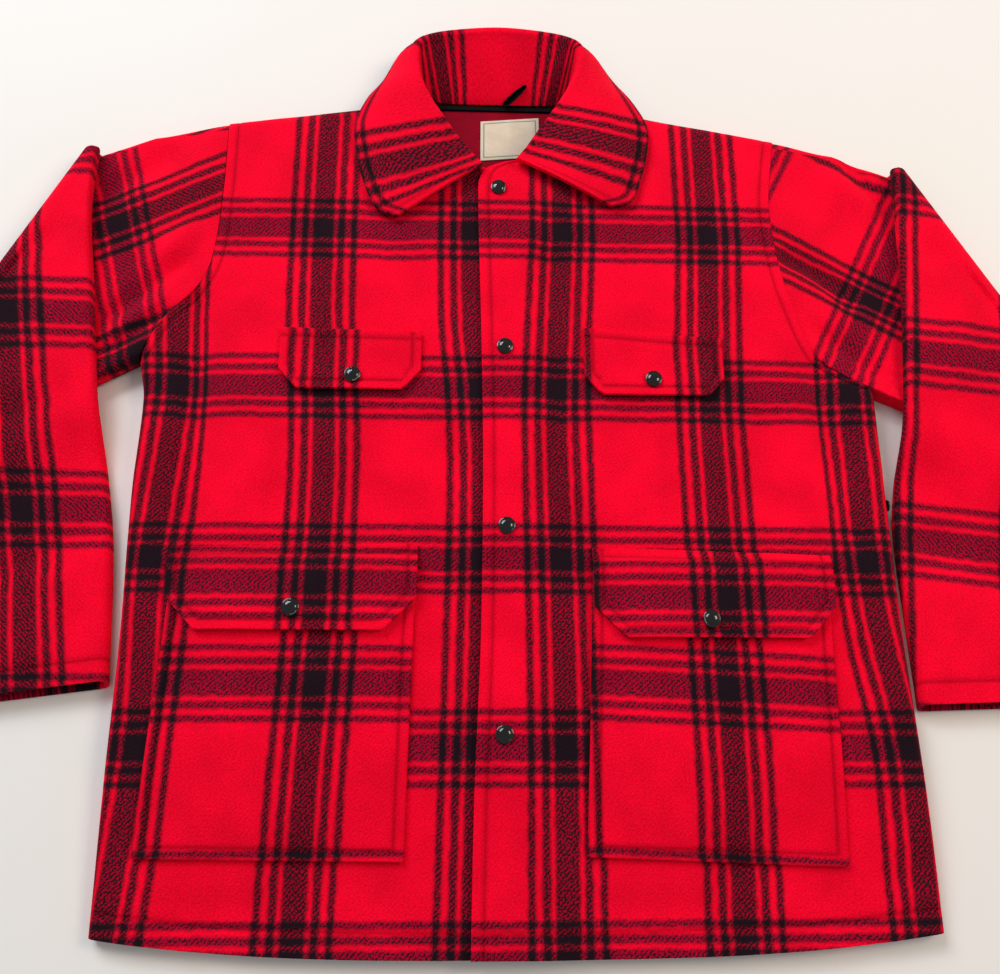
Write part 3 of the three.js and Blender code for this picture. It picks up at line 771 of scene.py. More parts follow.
@dataclass
class Workshop:
    """Turns grids of points on the coat into finished cloth pieces."""

    finishes: Finishes
    shift: Array = field(default_factory=lambda: np.zeros(3))
    measured_snap: tuple[float, float] = (13.0, -131.0)
    same_place: float = 0.02 * MM
    sharp: float = math.radians(58)

    def __post_init__(self) -> None:
        """Finds how far the coat's measured places lie from the frame's."""
        low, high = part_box("front_snap_4")
        middle = (np.array(low) + np.array(high)) / 2 / MM
        across, up = self.measured_snap
        self.shift = np.array([middle[0] - across, middle[1] - up, 0.0])

    def grid(
        self, name: str, points: Array, flat: Array, stitch: Array | None = None, upper: Array | None = None
    ) -> Piece:
        """Adds a grid primitive and moves its points to their places on the coat.

        Args:
            name: The piece's name.
            points: Rows by columns of places in millimetres.
            flat: Each point's place on the cut cloth in millimetres. A tube has two layers of
                them, one after the other.
            stitch: How deep each point lies in a stitched channel, from 0 to 1.
            upper: For each column of a tube's faces whether it belongs to the first layer.

        Returns:
            The new piece, an open sheet.
        """
        rows, columns = points.shape[:2]
        deselect_all()
        bpy.ops.mesh.primitive_grid_add(x_subdivisions=columns - 1, y_subdivisions=rows - 1, size=1.0)
        piece = bpy.context.object
        piece.name = piece.data.name = name
        mesh = piece.data
        count = len(mesh.vertices)
        start = np.empty(count * 3)
        mesh.vertices.foreach_get("co", start)
        start = start.reshape(-1, 3)
        j = np.rint((start[:, 0] + 0.5) * (columns - 1)).astype(int)
        i = np.rint((start[:, 1] + 0.5) * (rows - 1)).astype(int)
        placed = (points[i, j] + self.shift) * MM
        mesh.vertices.foreach_set("co", placed.ravel())
        for layer in list(mesh.uv_layers):
            mesh.uv_layers.remove(layer)
        layer = mesh.uv_layers.new(name="cloth")
        corners = np.empty(len(mesh.loops), dtype=np.int64)
        mesh.loops.foreach_get("vertex_index", corners)
        if upper is None:
            places = flat[i[corners], j[corners]]
        else:
            column = j[corners].reshape(-1, 4).min(axis=1)
            second = np.repeat(np.where(upper[column], 0, 1), 4)
            places = flat[second, i[corners], j[corners]]
        layer.data.foreach_set("uv", (places * MM).ravel())
        # the wool's material also paints shade into its colour by this depth
        depth = mesh.attributes.new("stitch", "FLOAT", "POINT")
        depth.data.foreach_set("value", (np.zeros(count) if stitch is None else stitch[i, j]))
        mesh.update()
        return piece

    def orient(self, piece: Piece, direction: tuple[float, float, float]) -> None:
        """Turns an open sheet so that its faces look mostly along a direction.

        Args:
            piece: The open sheet.
            direction: Where its outer face looks.
        """
        mesh = piece.data
        normals = np.empty(len(mesh.polygons) * 3)
        areas = np.empty(len(mesh.polygons))
        mesh.polygons.foreach_get("normal", normals)
        mesh.polygons.foreach_get("area", areas)
        facing = (normals.reshape(-1, 3) @ np.array(direction) * areas).sum()
        if facing < 0:
            pick(piece)
            bpy.ops.object.mode_set(mode="EDIT")
            bpy.ops.mesh.select_all(action="SELECT")
            bpy.ops.mesh.flip_normals()
            bpy.ops.object.mode_set(mode="OBJECT")

    def close_seam(self, piece: Piece) -> None:
        """Merges the two edges that meet on a tube, and turns its faces outward.

        Args:
            piece: The sheet, with its first and last points at the same places.
        """
        pick(piece)
        bpy.ops.object.mode_set(mode="EDIT")
        bpy.ops.mesh.select_all(action="SELECT")
        bpy.ops.mesh.remove_doubles(threshold=self.same_place)
        bpy.ops.mesh.normals_make_consistent(inside=False)
        bpy.ops.object.mode_set(mode="OBJECT")

    def thicken(self, piece: Piece, wall: float, offset: float, edge: float) -> None:
        """Gives a sheet its wall and softens its cut edges.

        Args:
            piece: The open sheet.
            wall: The cloth's thickness in millimetres.
            offset: Which way it grows: -1 behind its faces, 0 to both sides.
            edge: The radius of its edges in millimetres.
        """
        pick(piece)
        solid = piece.modifiers.new("wall", "SOLIDIFY")
        solid.thickness = wall * MM
        solid.offset = offset
        solid.use_rim = True
        bpy.ops.object.modifier_apply(modifier=solid.name)
        soft = piece.modifiers.new("soft edge", "BEVEL")
        soft.width = edge * MM
        soft.segments = 2
        soft.limit_method = "ANGLE"
        soft.angle_limit = self.sharp
        bpy.ops.object.modifier_apply(modifier=soft.name)
        bpy.ops.object.shade_smooth()

    def dress(self, piece: Piece, finish: Material, slot: str, nodes: tuple[str, ...]) -> None:
        """Gives a piece its finish, its body and the nodes that it stands for.

        Args:
            piece: The finished piece.
            finish: Its material.
            slot: The record's material slot; not used.
            nodes: The nodes that it replaces.
        """
        piece.data.materials.clear()
        piece.data.materials.append(finish)
        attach(piece, "root")
        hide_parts(*nodes)
        LOG.info("%s: %d faces", piece.name, len(piece.data.polygons))

    def wool_panel(
        self, node: str, points: Array, flat: Array, stitch: Array, edge: float, up: int = 1
    ) -> Piece:
        """Makes one panel of wool from the grid of its outer face.

        Args:
            node: The node that it replaces.
            points: Rows by columns of places in millimetres.
            flat: Each point's place on the cut cloth in millimetres.
            stitch: How deep each point lies in a stitched channel, from 0 to 1.
            edge: The radius of its edges in millimetres.
            up: 1 where its outer face looks up, -1 where it looks down.

        Returns:
            The finished panel.
        """
        piece = self.grid(f"wool_{node}", points, flat, stitch)
        self.orient(piece, (0, 0, up))
        self.thicken(piece, WALL, -1, edge)
        self.dress(piece, self.finishes.wool, "wool", (node,))
        return piece


@dataclass(frozen=True)
class PanelRows:
    """Rows of a body panel: nominal heights at both ends, the climb to the shoulder and the roll."""

    outer: Array
    inner: Array
    climb: Array
    turn: Array


@dataclass
class CoatShape:
    """The form of the flattened body, on which every other piece lies."""

    depth: float = 20.0
    hem_depth: float = 12.0
    hem_taper: float = 150.0
    overlap_lift: float = 4.0
    overlap_centre: float = 9.0
    hem_middle: float = -278.0
    hem_rise: float = 15.0
    hem_centre: float = 24.0
    hem_half: float = 292.0
    hem_fade: float = 90.0
    hem_stitch: float = 16.8
    peak: float = 414.5
    peak_centre: float = 14.0
    fall: dict = field(default_factory=lambda: {Side.RIGHT: 0.16, Side.LEFT: 0.185})
    sides: dict = field(
        default_factory=lambda: {
            Side.RIGHT: Profile(
                (-300, -190, -60, 50, 125, 160, 430), (-266, -266, -266, -269, -268, -274, -274)
            ),
            Side.LEFT: Profile((-300, -190, -60, 50, 125, 160, 430), (318, 316, 311.5, 311, 311, 311, 311)),
        }
    )
    armholes: dict = field(
        default_factory=lambda: {
            Side.RIGHT: Profile(
                (154, 165, 178, 190, 203, 217, 234, 262, 300, 336, 420),
                (-274, -270, -264, -257, -246, -234, -225.5, -221, -219.5, -219, -220),
            ),
            Side.LEFT: Profile(
                (137, 142, 149, 163, 182, 202, 226, 262, 300, 336, 420),
                (311, 300, 286, 267, 258, 251.5, 245, 239.5, 237.5, 241, 256),
            ),
        }
    )
    inner_rows: tuple[float, ...] = (160, 196, 232, 266, 296, 318, 328, 336, 344, 362)
    front_edges: dict = field(
        default_factory=lambda: {
            Side.RIGHT: Profile(
                (-300, 318, 326, 333, 339, 345, 353, 366, 384, 400, 415),
                (26, 26, 21, 4, -14, -34, -50, -62, -70, -75, -77),
            ),
            Side.LEFT: Profile(
                (-300, -170, -60, 80, 190, 315, 324, 332, 338, 342, 348, 357, 370, 386, 402, 415),
                (-10, -8, -4, -3, -5, -8, -6, -1, 12, 30, 48, 61, 74, 84, 90, 92),
            ),
        }
    )
    main_creases: tuple[Crease, ...] = (
        Crease(-232, 212, -221, 20, 11, -6),
        Crease(50, 292, 58, 60, 10, -3.4),
        Crease(90, 120, 76, 20, 17, 2.2),
        Crease(-90, 300, -60, 205, 16, -3),
        Crease(262, 160, 284, 10, 12, -4.6),
        Crease(214, 120, 226, 30, 14, -3),
        Crease(-186, 128, -178, 30, 18, 2),
        Crease(-30, 90, -26, -120, 15, -2.2),
        Crease(44, -20, 50, -200, 12, -2.6),
        Crease(270, -60, 284, -236, 13, -3),
        Crease(-250, -50, -254, -230, 10, -2.6),
        Crease(60, -246, 190, -252, 11, -2),
        Crease(-210, -250, -100, -244, 11, -1.8),
    )

    def depth_at(self, y: Array) -> Array:
        """Outer depth of the flattened body at each height."""
        return blend(self.hem_depth, self.depth, ease(self.hem_middle, self.hem_middle + self.hem_taper, y))

    def hem_line(self, x: Array) -> Array:
        """Height of the hem's edge."""
        return self.hem_middle + self.hem_rise * np.abs((x - self.hem_centre) / self.hem_half) ** 3

    def hem_offset(self, x: Array, y: Array) -> Array:
        """How far a row at a nominal height follows the hem's curve, less and less above it."""
        fading = 1 - ease(self.hem_middle, self.hem_middle + self.hem_fade, y)
        return (self.hem_line(x) - self.hem_middle) * fading

    def shoulder_line(self, x: Array) -> Array:
        """Height of the shoulder fold."""
        across = x - self.peak_centre
        slope = np.where(across < 0, self.fall[Side.RIGHT], self.fall[Side.LEFT])
        return self.peak - slope * np.abs(across)

    def lap(self, side: Side, x: Array) -> Array:
        """How far the left front rides up on the right one."""
        return self.overlap_lift * (1 - ease(34, 84, x)) if side is Side.LEFT else np.zeros_like(x)

    def front_crease(self, x: Array, y: Array) -> Array:
        """Creases and low waves of the fronts, none where the two fronts overlap."""
        away = ease(22, 38, np.abs(x - self.overlap_centre))
        waves = 1.1 * ripple(x, y, 62, 3.1) + 0.7 * ripple(x, y, 24, 8.7)
        return (crease_lift(self.main_creases, x, y) + waves) * away

    def front_top(self, side: Side, x: Array, y: Array) -> Array:
        """Outer height of a front away from its rolled edges."""
        return self.depth_at(y) + self.lap(side, x) + self.front_crease(x, y)

    def outer_edge(self, side: Side, y: Array, radius: Array) -> tuple[Array, Array]:
        """The virtual side line, and how much of the rolled side the armhole cuts away.

        Args:
            side: The wearer's side.
            y: Places up the coat, in mm.
            radius: Radius of the rolled side at each.

        Returns:
            The line's x, and the cut from 0 to 1.
        """
        line = self.sides[side].smooth(y)
        inset = np.abs(self.armholes[side].smooth(y) - line)
        quarter = radius * HALF_PI
        rolled = radius * np.arccos(1 - np.clip(inset, 0, radius) / radius)
        cut = np.where(inset >= radius, inset - radius + quarter, rolled)
        return line, np.where(y <= self.armholes[side].places[0], 0.0, cut)

    def rows(self, side: Side, lower: list[float], per_row: int, climbs: int, turns: int) -> PanelRows:
        """Lays out the rows of a panel from the hem to the shoulder.

        Args:
            side: Which side of the coat.
            lower: Heights above the hem, in millimetres, as far as the underarm.
            per_row: Rows for each given place of the armhole.
            climbs: Rows between the armhole's last place and the shoulder.
            turns: Rows round the shoulder's roll.

        Returns:
            The rows, as columns of numbers.
        """
        outer, inner = [], []
        span = self.armholes[side].places[0] - self.hem_middle
        for height in lower:
            outer.append(self.hem_middle + height)
            inner.append(self.hem_middle + height * (self.inner_rows[0] - self.hem_middle) / span)
        marks = np.array(self.armholes[side].places[:-1])
        steps = np.linspace(0, len(marks) - 1, (len(marks) - 1) * per_row + 1)
        outer += list(np.interp(steps, np.arange(len(marks)), marks))
        inner += list(np.interp(steps, np.arange(len(marks)), self.inner_rows))
        climb = [0.0] * len(outer) + [k / climbs for k in range(1, climbs + 1)]
        turn = [HALF_PI] * len(climb) + [HALF_PI * (1 - k / turns) for k in range(1, turns + 1)]
        climb += [1.0] * turns
        outer += [outer[-1]] * (len(turn) - len(outer))
        inner += [inner[-1]] * (len(turn) - len(inner))
        return PanelRows(*(np.array(v, float)[:, None] for v in (outer, inner, climb, turn)))


def side_roll(length: Array, radius: Array) -> tuple[Array, Array]:
    """Inset and rise of a point on the body's rounded side, by its length from the seam.

    Args:
        length: Lengths of cloth from the seam, in mm.
        radius: Radius of the rolled side at each.

    Returns:
        The inset and the rise in mm.
    """
    quarter = radius * HALF_PI
    angle = np.minimum(length / radius, HALF_PI)
    inset = radius - radius * np.cos(angle) + np.maximum(length - quarter, 0)
    return inset, np.sin(angle)


def channel(distance: Array, half: float = 1.5) -> Array:
    """Depth of a stitched channel, from 1 on its line to 0 beside it."""
    return np.exp(-((distance / half) ** 2))


@dataclass
class PlaidPhase:
    """Where the plaid's stripes fall on the body: measured heights of the weft groups."""

    centres: dict = field(
        default_factory=lambda: {
            Side.RIGHT: Profile((-270, -100, 60, 130, 190, 272), (-130, -126.5, -124.5, -127.5, -133, -135)),
            Side.LEFT: Profile((-270, -100, 60, 130, 272), (178, 178, 176, 176, 183.5)),
        }
    )
    side_shift: dict = field(
        default_factory=lambda: {
            Side.RIGHT: (-200, -240, Profile((-270, -140, 0, 130), (-6, 4, -1, 9))),
            Side.LEFT: (240, 268, Profile((-260, -140, -40, 70), (6, 4, -9, -9))),
        }
    )
    heights: tuple[float, ...] = (-422, -281, -140, -4, 133.5, 274, 415)

    def along(self, y: Array) -> Array:
        """Place along the cut cloth for a height on the body."""
        return Profile(self.heights, WEFT_GROUPS).smooth(y)

    def across(self, side: Side, x: Array, y: Array) -> Array:
        """Place across the cut cloth for a place on one front."""
        start, end, shift = self.side_shift[side]
        beside = ease(side.value * start, side.value * end, side.value * x)
        return x - self.centres[side].smooth(y) - beside * shift.smooth(y)


EDGE_LENGTHS = (0, 1.2, 3, 5, 6.6, 8, 9.4, 11.5, 14, 16)  # columns from a side or armhole seam
LOWER_ROWS = [0, 1.5, 4, 8, 12, 15, 16.8, 18.6, 21.5, 26]  # rows up to just past the hem's stitching


@dataclass
class Fronts:
    """The two front panels, with the placket's and armholes' topstitching."""

    shape: CoatShape
    phase: PlaidPhase
    shop: Workshop
    flat_spans: int = 46
    placket_zone: tuple[float, ...] = (24, 19, 14.5, 11.5, 9.9, 8.5, 7.1, 4.5, 1.6, 0)
    placket_stitch: float = 8.5
    armhole_stitch: float = 8.0
    groove: float = 0.9
    cut_width: dict = field(default_factory=lambda: {Side.RIGHT: 0.31, Side.LEFT: 0.34})
    cut_length: float = 0.72
    cut_area: dict = field(default_factory=lambda: {Side.RIGHT: 0.182, Side.LEFT: 0.202})

    def points(self, side: Side) -> tuple[Array, Array, Array]:
        """Places, flat places and stitch depths of one front's outer face.

        Args:
            side: The wearer's side.

        Returns:
            Three grids of the same rows and columns, in mm.
        """
        shape = self.shape
        sign = -side.value
        underarm = shape.armholes[side].places[0]
        lower = LOWER_ROWS + list(np.arange(33, 430, 6.4))
        lower = [h for h in lower if h < underarm - shape.hem_middle - 4]
        rows = shape.rows(side, lower, 3, 10, 7)
        zone = list(self.placket_zone)
        spans = self.flat_spans + len(zone) - 1
        lengths = np.array(list(EDGE_LENGTHS) + [EDGE_LENGTHS[-1]] * spans)[None, :]
        ramp = list(np.linspace(0, 1, self.flat_spans + 1))[1:]
        share = np.array([0.0] * len(EDGE_LENGTHS) + ramp + [1.0] * (len(zone) - 1))[None, :]
        reach = np.array([zone[0]] * (len(EDGE_LENGTHS) + self.flat_spans) + zone[1:])[None, :]
        on_roll = share == 0
        nominal = rows.outer + (rows.inner - rows.outer) * share
        y = nominal.copy()
        for _ in range(6):
            radius = shape.depth_at(y) / 2
            line, cut = shape.outer_edge(side, y, radius)
            inset, rise = side_roll(cut + lengths, radius)
            edge = shape.front_edges[side].smooth(y) + side.value * reach
            x = blend(line + sign * inset, edge, share)
            top = shape.shoulder_line(x)
            y = blend(nominal + shape.hem_offset(x, nominal), top - radius, rows.climb)
            y = y + radius * np.cos(rows.turn)
        rise = np.where(on_roll, rise, 1.0) * np.sin(rows.turn)
        from_hem = y - shape.hem_line(x)
        armhole = np.where(y > underarm - 2, channel(lengths - self.armhole_stitch, 1.3), 0) * on_roll
        placket = channel(reach - self.placket_stitch) * (share == 1) * (side is Side.LEFT)
        stitch = np.maximum(np.maximum(armhole, placket), channel(from_hem - shape.hem_stitch))
        height = radius + SEAM / 2 + (radius - SEAM / 2) * rise
        z = height + (shape.lap(side, x) + shape.front_crease(x, y)) * rise - self.groove * stitch * rise
        unrolled = line + sign * (cut + lengths - radius * HALF_PI + radius)
        across = self.phase.across(side, np.where(on_roll, unrolled, x), y)
        along = self.phase.along(y + radius * (HALF_PI - rows.turn - np.cos(rows.turn)))
        return np.stack([x, y, z], -1), np.stack([across, along], -1), stitch

    def build(self) -> None:
        """Makes both fronts."""
        for side in Side:
            points, flat, stitch = self.points(side)
            piece = self.shop.wool_panel(f"front_{side.word}", points, flat, stitch, 1.1)


@dataclass
class Back:
    """The back panel, flat on the table and curved up to its seams."""

    shape: CoatShape
    phase: PlaidPhase
    shop: Workshop
    neck_y: float = 413.0
    neck_centre: float = 9.0
    neck_half: float = 62.0
    neck_fade: float = 20.0
    flat_spans: int = 84
    warp_centre: float = 25.0

    def points(self) -> tuple[Array, Array, Array]:
        """Places, flat places and stitch depths of the outer face.

        Returns:
            Three grids of the same rows and columns, in mm.
        """
        shape = self.shape
        lower = LOWER_ROWS + list(np.arange(33, 410, 7.0))
        right = shape.rows(Side.RIGHT, lower, 3, 9, 6)
        left = shape.rows(Side.LEFT, lower, 3, 9, 6)
        edges = list(EDGE_LENGTHS)
        ramp = list(np.linspace(0, 1, self.flat_spans + 1))
        share = np.array([0.0] * (len(edges) - 1) + ramp + [1.0] * (len(edges) - 1))[None, :]
        lengths = np.array(edges + [edges[-1]] * (self.flat_spans - 1) + edges[::-1])[None, :]
        nominal = blend(right.outer, left.outer, share)
        y = nominal.copy()
        for _ in range(6):
            radius = shape.depth_at(y) / 2
            ends, rises, flats = [], [], []
            for side in Side:
                line, cut = shape.outer_edge(side, y, radius)
                inset, rise = side_roll(cut + lengths, radius)
                ends.append(line - side.value * inset)
                flats.append(line - side.value * (cut + lengths - radius * HALF_PI + radius))
                rises.append(rise)
            x = blend(ends[0], ends[1], share)
            turned = ease(self.neck_half, self.neck_half + self.neck_fade, np.abs(x - self.neck_centre))
            top = blend(self.neck_y, shape.shoulder_line(x), turned)
            y = blend(nominal + shape.hem_offset(x, nominal), top - radius, right.climb)
            y = y + radius * np.cos(right.turn)
        rise = np.where(share == 0, rises[0], np.where(share == 1, rises[1], 1.0))
        rise = rise * blend(1.0, np.sin(right.turn), turned)
        stitch = channel(y - shape.hem_line(x) - shape.hem_stitch) * 0.5
        z = radius - SEAM / 2 - (radius - SEAM / 2) * rise
        across = blend(flats[0], flats[1], share) - self.warp_centre
        along = self.phase.along(y + radius * (HALF_PI - right.turn - np.cos(right.turn)))
        return np.stack([x, y, z], -1), np.stack([across, along], -1), stitch

    def build(self) -> None:
        """Makes the back."""
        points, flat, stitch = self.points()
        piece = self.shop.wool_panel("back", points, flat, stitch, 1.1, up=-1)


@dataclass
class SleeveLine:
    """The measured lines of one folded sleeve."""

    shoulder: tuple[float, float]
    overarm: tuple[float, float]
    underarm: tuple[float, float]
    crease: tuple[float, float]
    run: tuple[float, float]
    inner_at: tuple[float, ...]
    inner_x: tuple[float, ...]
    inner_y: tuple[float, ...]
    cuff: tuple[float, float]
    upper_creases: tuple[Crease, ...]
    fore_creases: tuple[Crease, ...]


@dataclass(frozen=True)
class SleevePlaid:
    """Where the stripes of one layer of a sleeve cross, which way the warp runs and how far apart."""

    cross: tuple[float, float]
    run: tuple[float, float]
    on_upper: bool
    groups: tuple[float, ...] = WEFT_GROUPS
    lean: float = 0.0
    widths: Profile = Profile((-500, 500), (-500, 500))


@dataclass
class Sleeves:
    """Both sleeves: one flattened tube each, folded so that the forearm lies on the upper sleeve."""

    shape: CoatShape
    shop: Workshop
    depth: float = 12.0
    cuff_depth: float = 15.0
    fold_radius: float = 6.6
    fold_drop: float = 70.0
    crease_length: float = 338.0
    cuff_stitch: float = 16.0
    flat_points: int = 41
    unfolded_part: float = 9.0  # marks a forearm ring, past every angle of the half turn
    far: float = 999.0  # a length to the cuff that is past its stitching
    groove: float = 0.9
    cuff_zone: tuple[float, ...] = (34, 26, 20.5, 18, 16, 14, 11, 7, 3.5, 1.4, 0)
    plaid: dict = field(
        default_factory=lambda: {
            Side.RIGHT: (
                SleevePlaid((-304.0, 279.0), (-0.92, -0.39), True, lean=0.14),
                SleevePlaid(
                    (-349.0, 34.5), (0.168, -0.986), False, (-456, -302, -154, 0, 159, 318, 476), lean=-0.17
                ),
            ),
            Side.LEFT: (
                SleevePlaid(
                    (318.0, 218.5),
                    (0.89, -0.45),
                    True,
                    widths=Profile(
                        (-300, -104, -23, 0, 23, 104, 300), (-250, -93.6, -27.8, 0, 27.8, 93.6, 250)
                    ),
                ),
                SleevePlaid((302.0, 19.0), (-0.118, -0.993), False, (-446, -298, -153, 0, 154, 310, 466)),
            ),
        }
    )
    lines: dict = field(
        default_factory=lambda: {
            Side.RIGHT: SleeveLine(
                shoulder=(-220, 376),
                overarm=(-282, 365),
                underarm=(-274, 154),
                crease=(-325, 346),
                run=(-0.447, -0.894),
                inner_at=(0, 0.12, 0.3, 0.55, 0.78, 1),
                inner_x=(-325, -325, -314, -297, -280, -271),
                inner_y=(346, 290, 214, 98, 8, -95),
                cuff=(-418, -114),
                upper_creases=(
                    Crease(-244, 246, -306, 193, 8, -7),
                    Crease(-238, 276, -268, 246, 9, 4),
                    Crease(-252, 214, -300, 176, 7, 2.5),
                    Crease(-258, 196, -302, 162, 7, -6),
                    Crease(-262, 350, -330, 300, 10, -4.5),
                    Crease(-240, 322, -300, 300, 12, 2.0),
                ),
                fore_creases=(
                    Crease(-340, 268, -430, 206, 13, -4.0),
                    Crease(-316, 128, -404, 82, 14, -3.6),
                    Crease(-300, 14, -384, -34, 13, -3.2),
                    Crease(-372, 300, -352, 170, 11, 2.6),
                ),
            ),
            Side.LEFT: SleeveLine(
                shoulder=(248, 370),
                overarm=(300, 362),
                underarm=(311, 137),
                crease=(347, 342),
                run=(0.4845, -0.8748),
                inner_at=(0, 0.12, 0.3, 0.55, 0.72, 0.8, 1),
                inner_x=(347, 345, 341, 329, 317, 315.5, 318),
                inner_y=(342, 290, 214, 104, 34, 0, -111),
                cuff=(466, -106),
                upper_creases=(
                    Crease(248, 256, 272, 245, 8, -6),
                    Crease(272, 245, 304, 212, 8, -7),
                    Crease(268, 192, 322, 148, 8, -6),
                    Crease(292, 342, 332, 304, 11, 3.5),
                    Crease(314, 354, 344, 302, 9, -6),
                    Crease(262, 330, 300, 280, 13, -2.6),
                ),
                fore_creases=(
                    Crease(362, 268, 444, 200, 13, -4.0),
                    Crease(340, 132, 430, 92, 14, -3.6),
                    Crease(328, 24, 412, -24, 13, -3.2),
                    Crease(396, 286, 380, 150, 11, 2.4),
                ),
            ),
        }
    )

    def steps(self) -> tuple[Array, Array]:
        """The share along the flat and the angle round the tube, once round and closed.

        Returns:
            Shares from 0 to 1, and angles in radians.
        """
        flats = np.linspace(0, 1, self.flat_points)
        shares, angles = list(flats), [90.0] * len(flats)
        for angle in np.linspace(90, -90, 9)[1:-1]:
            shares.append(1.0)
            angles.append(angle)
        shares += list(flats[::-1])
        angles += [-90.0] * len(flats)
        for angle in np.linspace(-90, -270, 9)[1:]:
            shares.append(0.0)
            angles.append(angle)
        return np.array(shares), np.radians(angles)

    def wrap(self) -> Array:
        """How much further the cloth reaches round the tube's edges than its places show, in radii.

        Returns:
            The extra length at each step.
        """
        share, angle = self.steps()
        near = share < 0.5
        turned = np.where(near & (angle < -HALF_PI), angle + math.pi, angle)
        return np.where(near, -1.0, 1.0) * (HALF_PI - np.abs(turned) - np.cos(turned))

    def fold_end(self, line: SleeveLine) -> Array:
        """The lower end of the fold's crease."""
        return np.array(line.crease) + np.array(line.run) * self.crease_length

    def fore_lift(self, line: SleeveLine, x: Array, y: Array) -> Array:
        """Height of the forearm above the table, falling past the edge of the upper sleeve.

        Args:
            line: The sleeve's measured lines.
            x: Places across the coat, in mm.
            y: Places up the coat, in mm.

        Returns:
            The height in mm.
        """
        ax, ay = line.underarm
        bx, by = self.fold_end(line)
        length = math.hypot(bx - ax, by - ay)
        past = math.copysign(1, bx - ax) * ((x - ax) * (by - ay) - (y - ay) * (bx - ax)) / length
        return 2 * self.fold_radius * (1 - ease(6, self.fold_drop, past))

    def upper_ring(self, side: Side, line: SleeveLine, t: float) -> Array:
        """One ring of the upper sleeve.

        Args:
            side: Which sleeve.
            line: Its measured lines.
            t: 0 at the armhole, 1 at the crease.

        Returns:
            The ring's places, in mm.
        """
        share, angle = self.steps()
        shoulder, over, crease = (np.array(v) for v in (line.shoulder, line.overarm, line.crease))
        upper = blend(shoulder, over, 2 * t) if t < 0.5 else blend(over, crease, 2 * t - 1)
        lower = blend(np.array(line.underarm), self.fold_end(line), t)
        length = math.dist(upper, lower)
        depth = float(blend(self.shape.depth, self.depth, ease(0, 0.45, t)))
        radius = depth / 2
        along = (radius + share * (length - depth) + np.cos(angle) * radius) / length
        height = np.sin(angle) * radius
        rim = np.clip(along, 0, 1)
        seam = self.shape.armholes[side].smooth(blend(line.shoulder[1], line.underarm[1], rim))
        bow = (seam - blend(line.shoulder[0], line.underarm[0], rim)) * (1 - t) ** 1.6 + side.value * SEAM
        x = blend(upper[0], lower[0], along) + bow
        y = blend(upper[1], lower[1], along)
        rise = np.maximum(np.sin(angle), 0)
        waves = crease_lift(line.upper_creases, x, y) + 0.8 * ripple(x, y, 30, 5.0) * ease(0, 0.12, t)
        return np.stack([x, y, radius + height + waves * rise], -1)

    def bend_ring(self, line: SleeveLine, turn: float) -> Array:
        """One ring of the half turn about the crease.

        Args:
            line: The sleeve's measured lines.
            turn: The angle turned so far, in radians.

        Returns:
            The ring's places, in mm.
        """
        share, angle = self.steps()
        radius = self.depth / 2
        along = radius + share * (self.crease_length - self.depth) + np.cos(angle) * radius
        height = np.sin(angle) * radius
        reach = self.fold_radius - height
        out = self.out_of_fold(line)
        away = reach * math.sin(turn)
        x = line.crease[0] + line.run[0] * along + out[0] * away
        y = line.crease[1] + line.run[1] * along + out[1] * away
        z = radius + self.fold_radius - reach * math.cos(turn)
        return np.stack([x, y, z], -1)

    def out_of_fold(self, line: SleeveLine) -> tuple[float, float]:
        """The direction across the crease, away from the body."""
        run = line.run
        return (run[1], -run[0]) if run[0] < 0 else (-run[1], run[0])

    def fore_ring(self, line: SleeveLine, inner_t: float, outer_t: float) -> Array:
        """One ring of the forearm, by its place on the inner and the outer edge.

        Args:
            line: The sleeve's measured lines.
            inner_t: 0 at the crease, 1 at the cuff, on the inner edge.
            outer_t: The same on the outer edge.

        Returns:
            The ring's places, in mm.
        """
        share, angle = self.steps()
        upper = np.array(
            [float(Profile(line.inner_at, v).smooth(np.array(inner_t))) for v in (line.inner_x, line.inner_y)]
        )
        lower = blend(self.fold_end(line), np.array(line.cuff), outer_t)
        length = math.dist(upper, lower)
        depth = float(blend(self.depth, self.cuff_depth, ease(0.7, 1, inner_t)))
        radius = depth / 2
        along = (radius + share * (length - depth) + np.cos(angle) * radius) / length
        height = np.sin(angle) * radius
        x = blend(upper[0], lower[0], along)
        y = blend(upper[1], lower[1], along) - 2 * float(ease(0.85, 1, inner_t)) * np.sin(angle)
        rise = np.maximum(-np.sin(angle), 0)
        waves = crease_lift(line.fore_creases, x, y)
        waves = waves + 0.9 * ripple(x, y, 46, 6.0) + 0.4 * ripple(x, y, 20, 2.0)
        z = radius - height + self.fore_lift(line, x, y) + waves * rise * (1 - 0.8 * ease(0.93, 1, inner_t))
        return np.stack([x, y, z], -1)

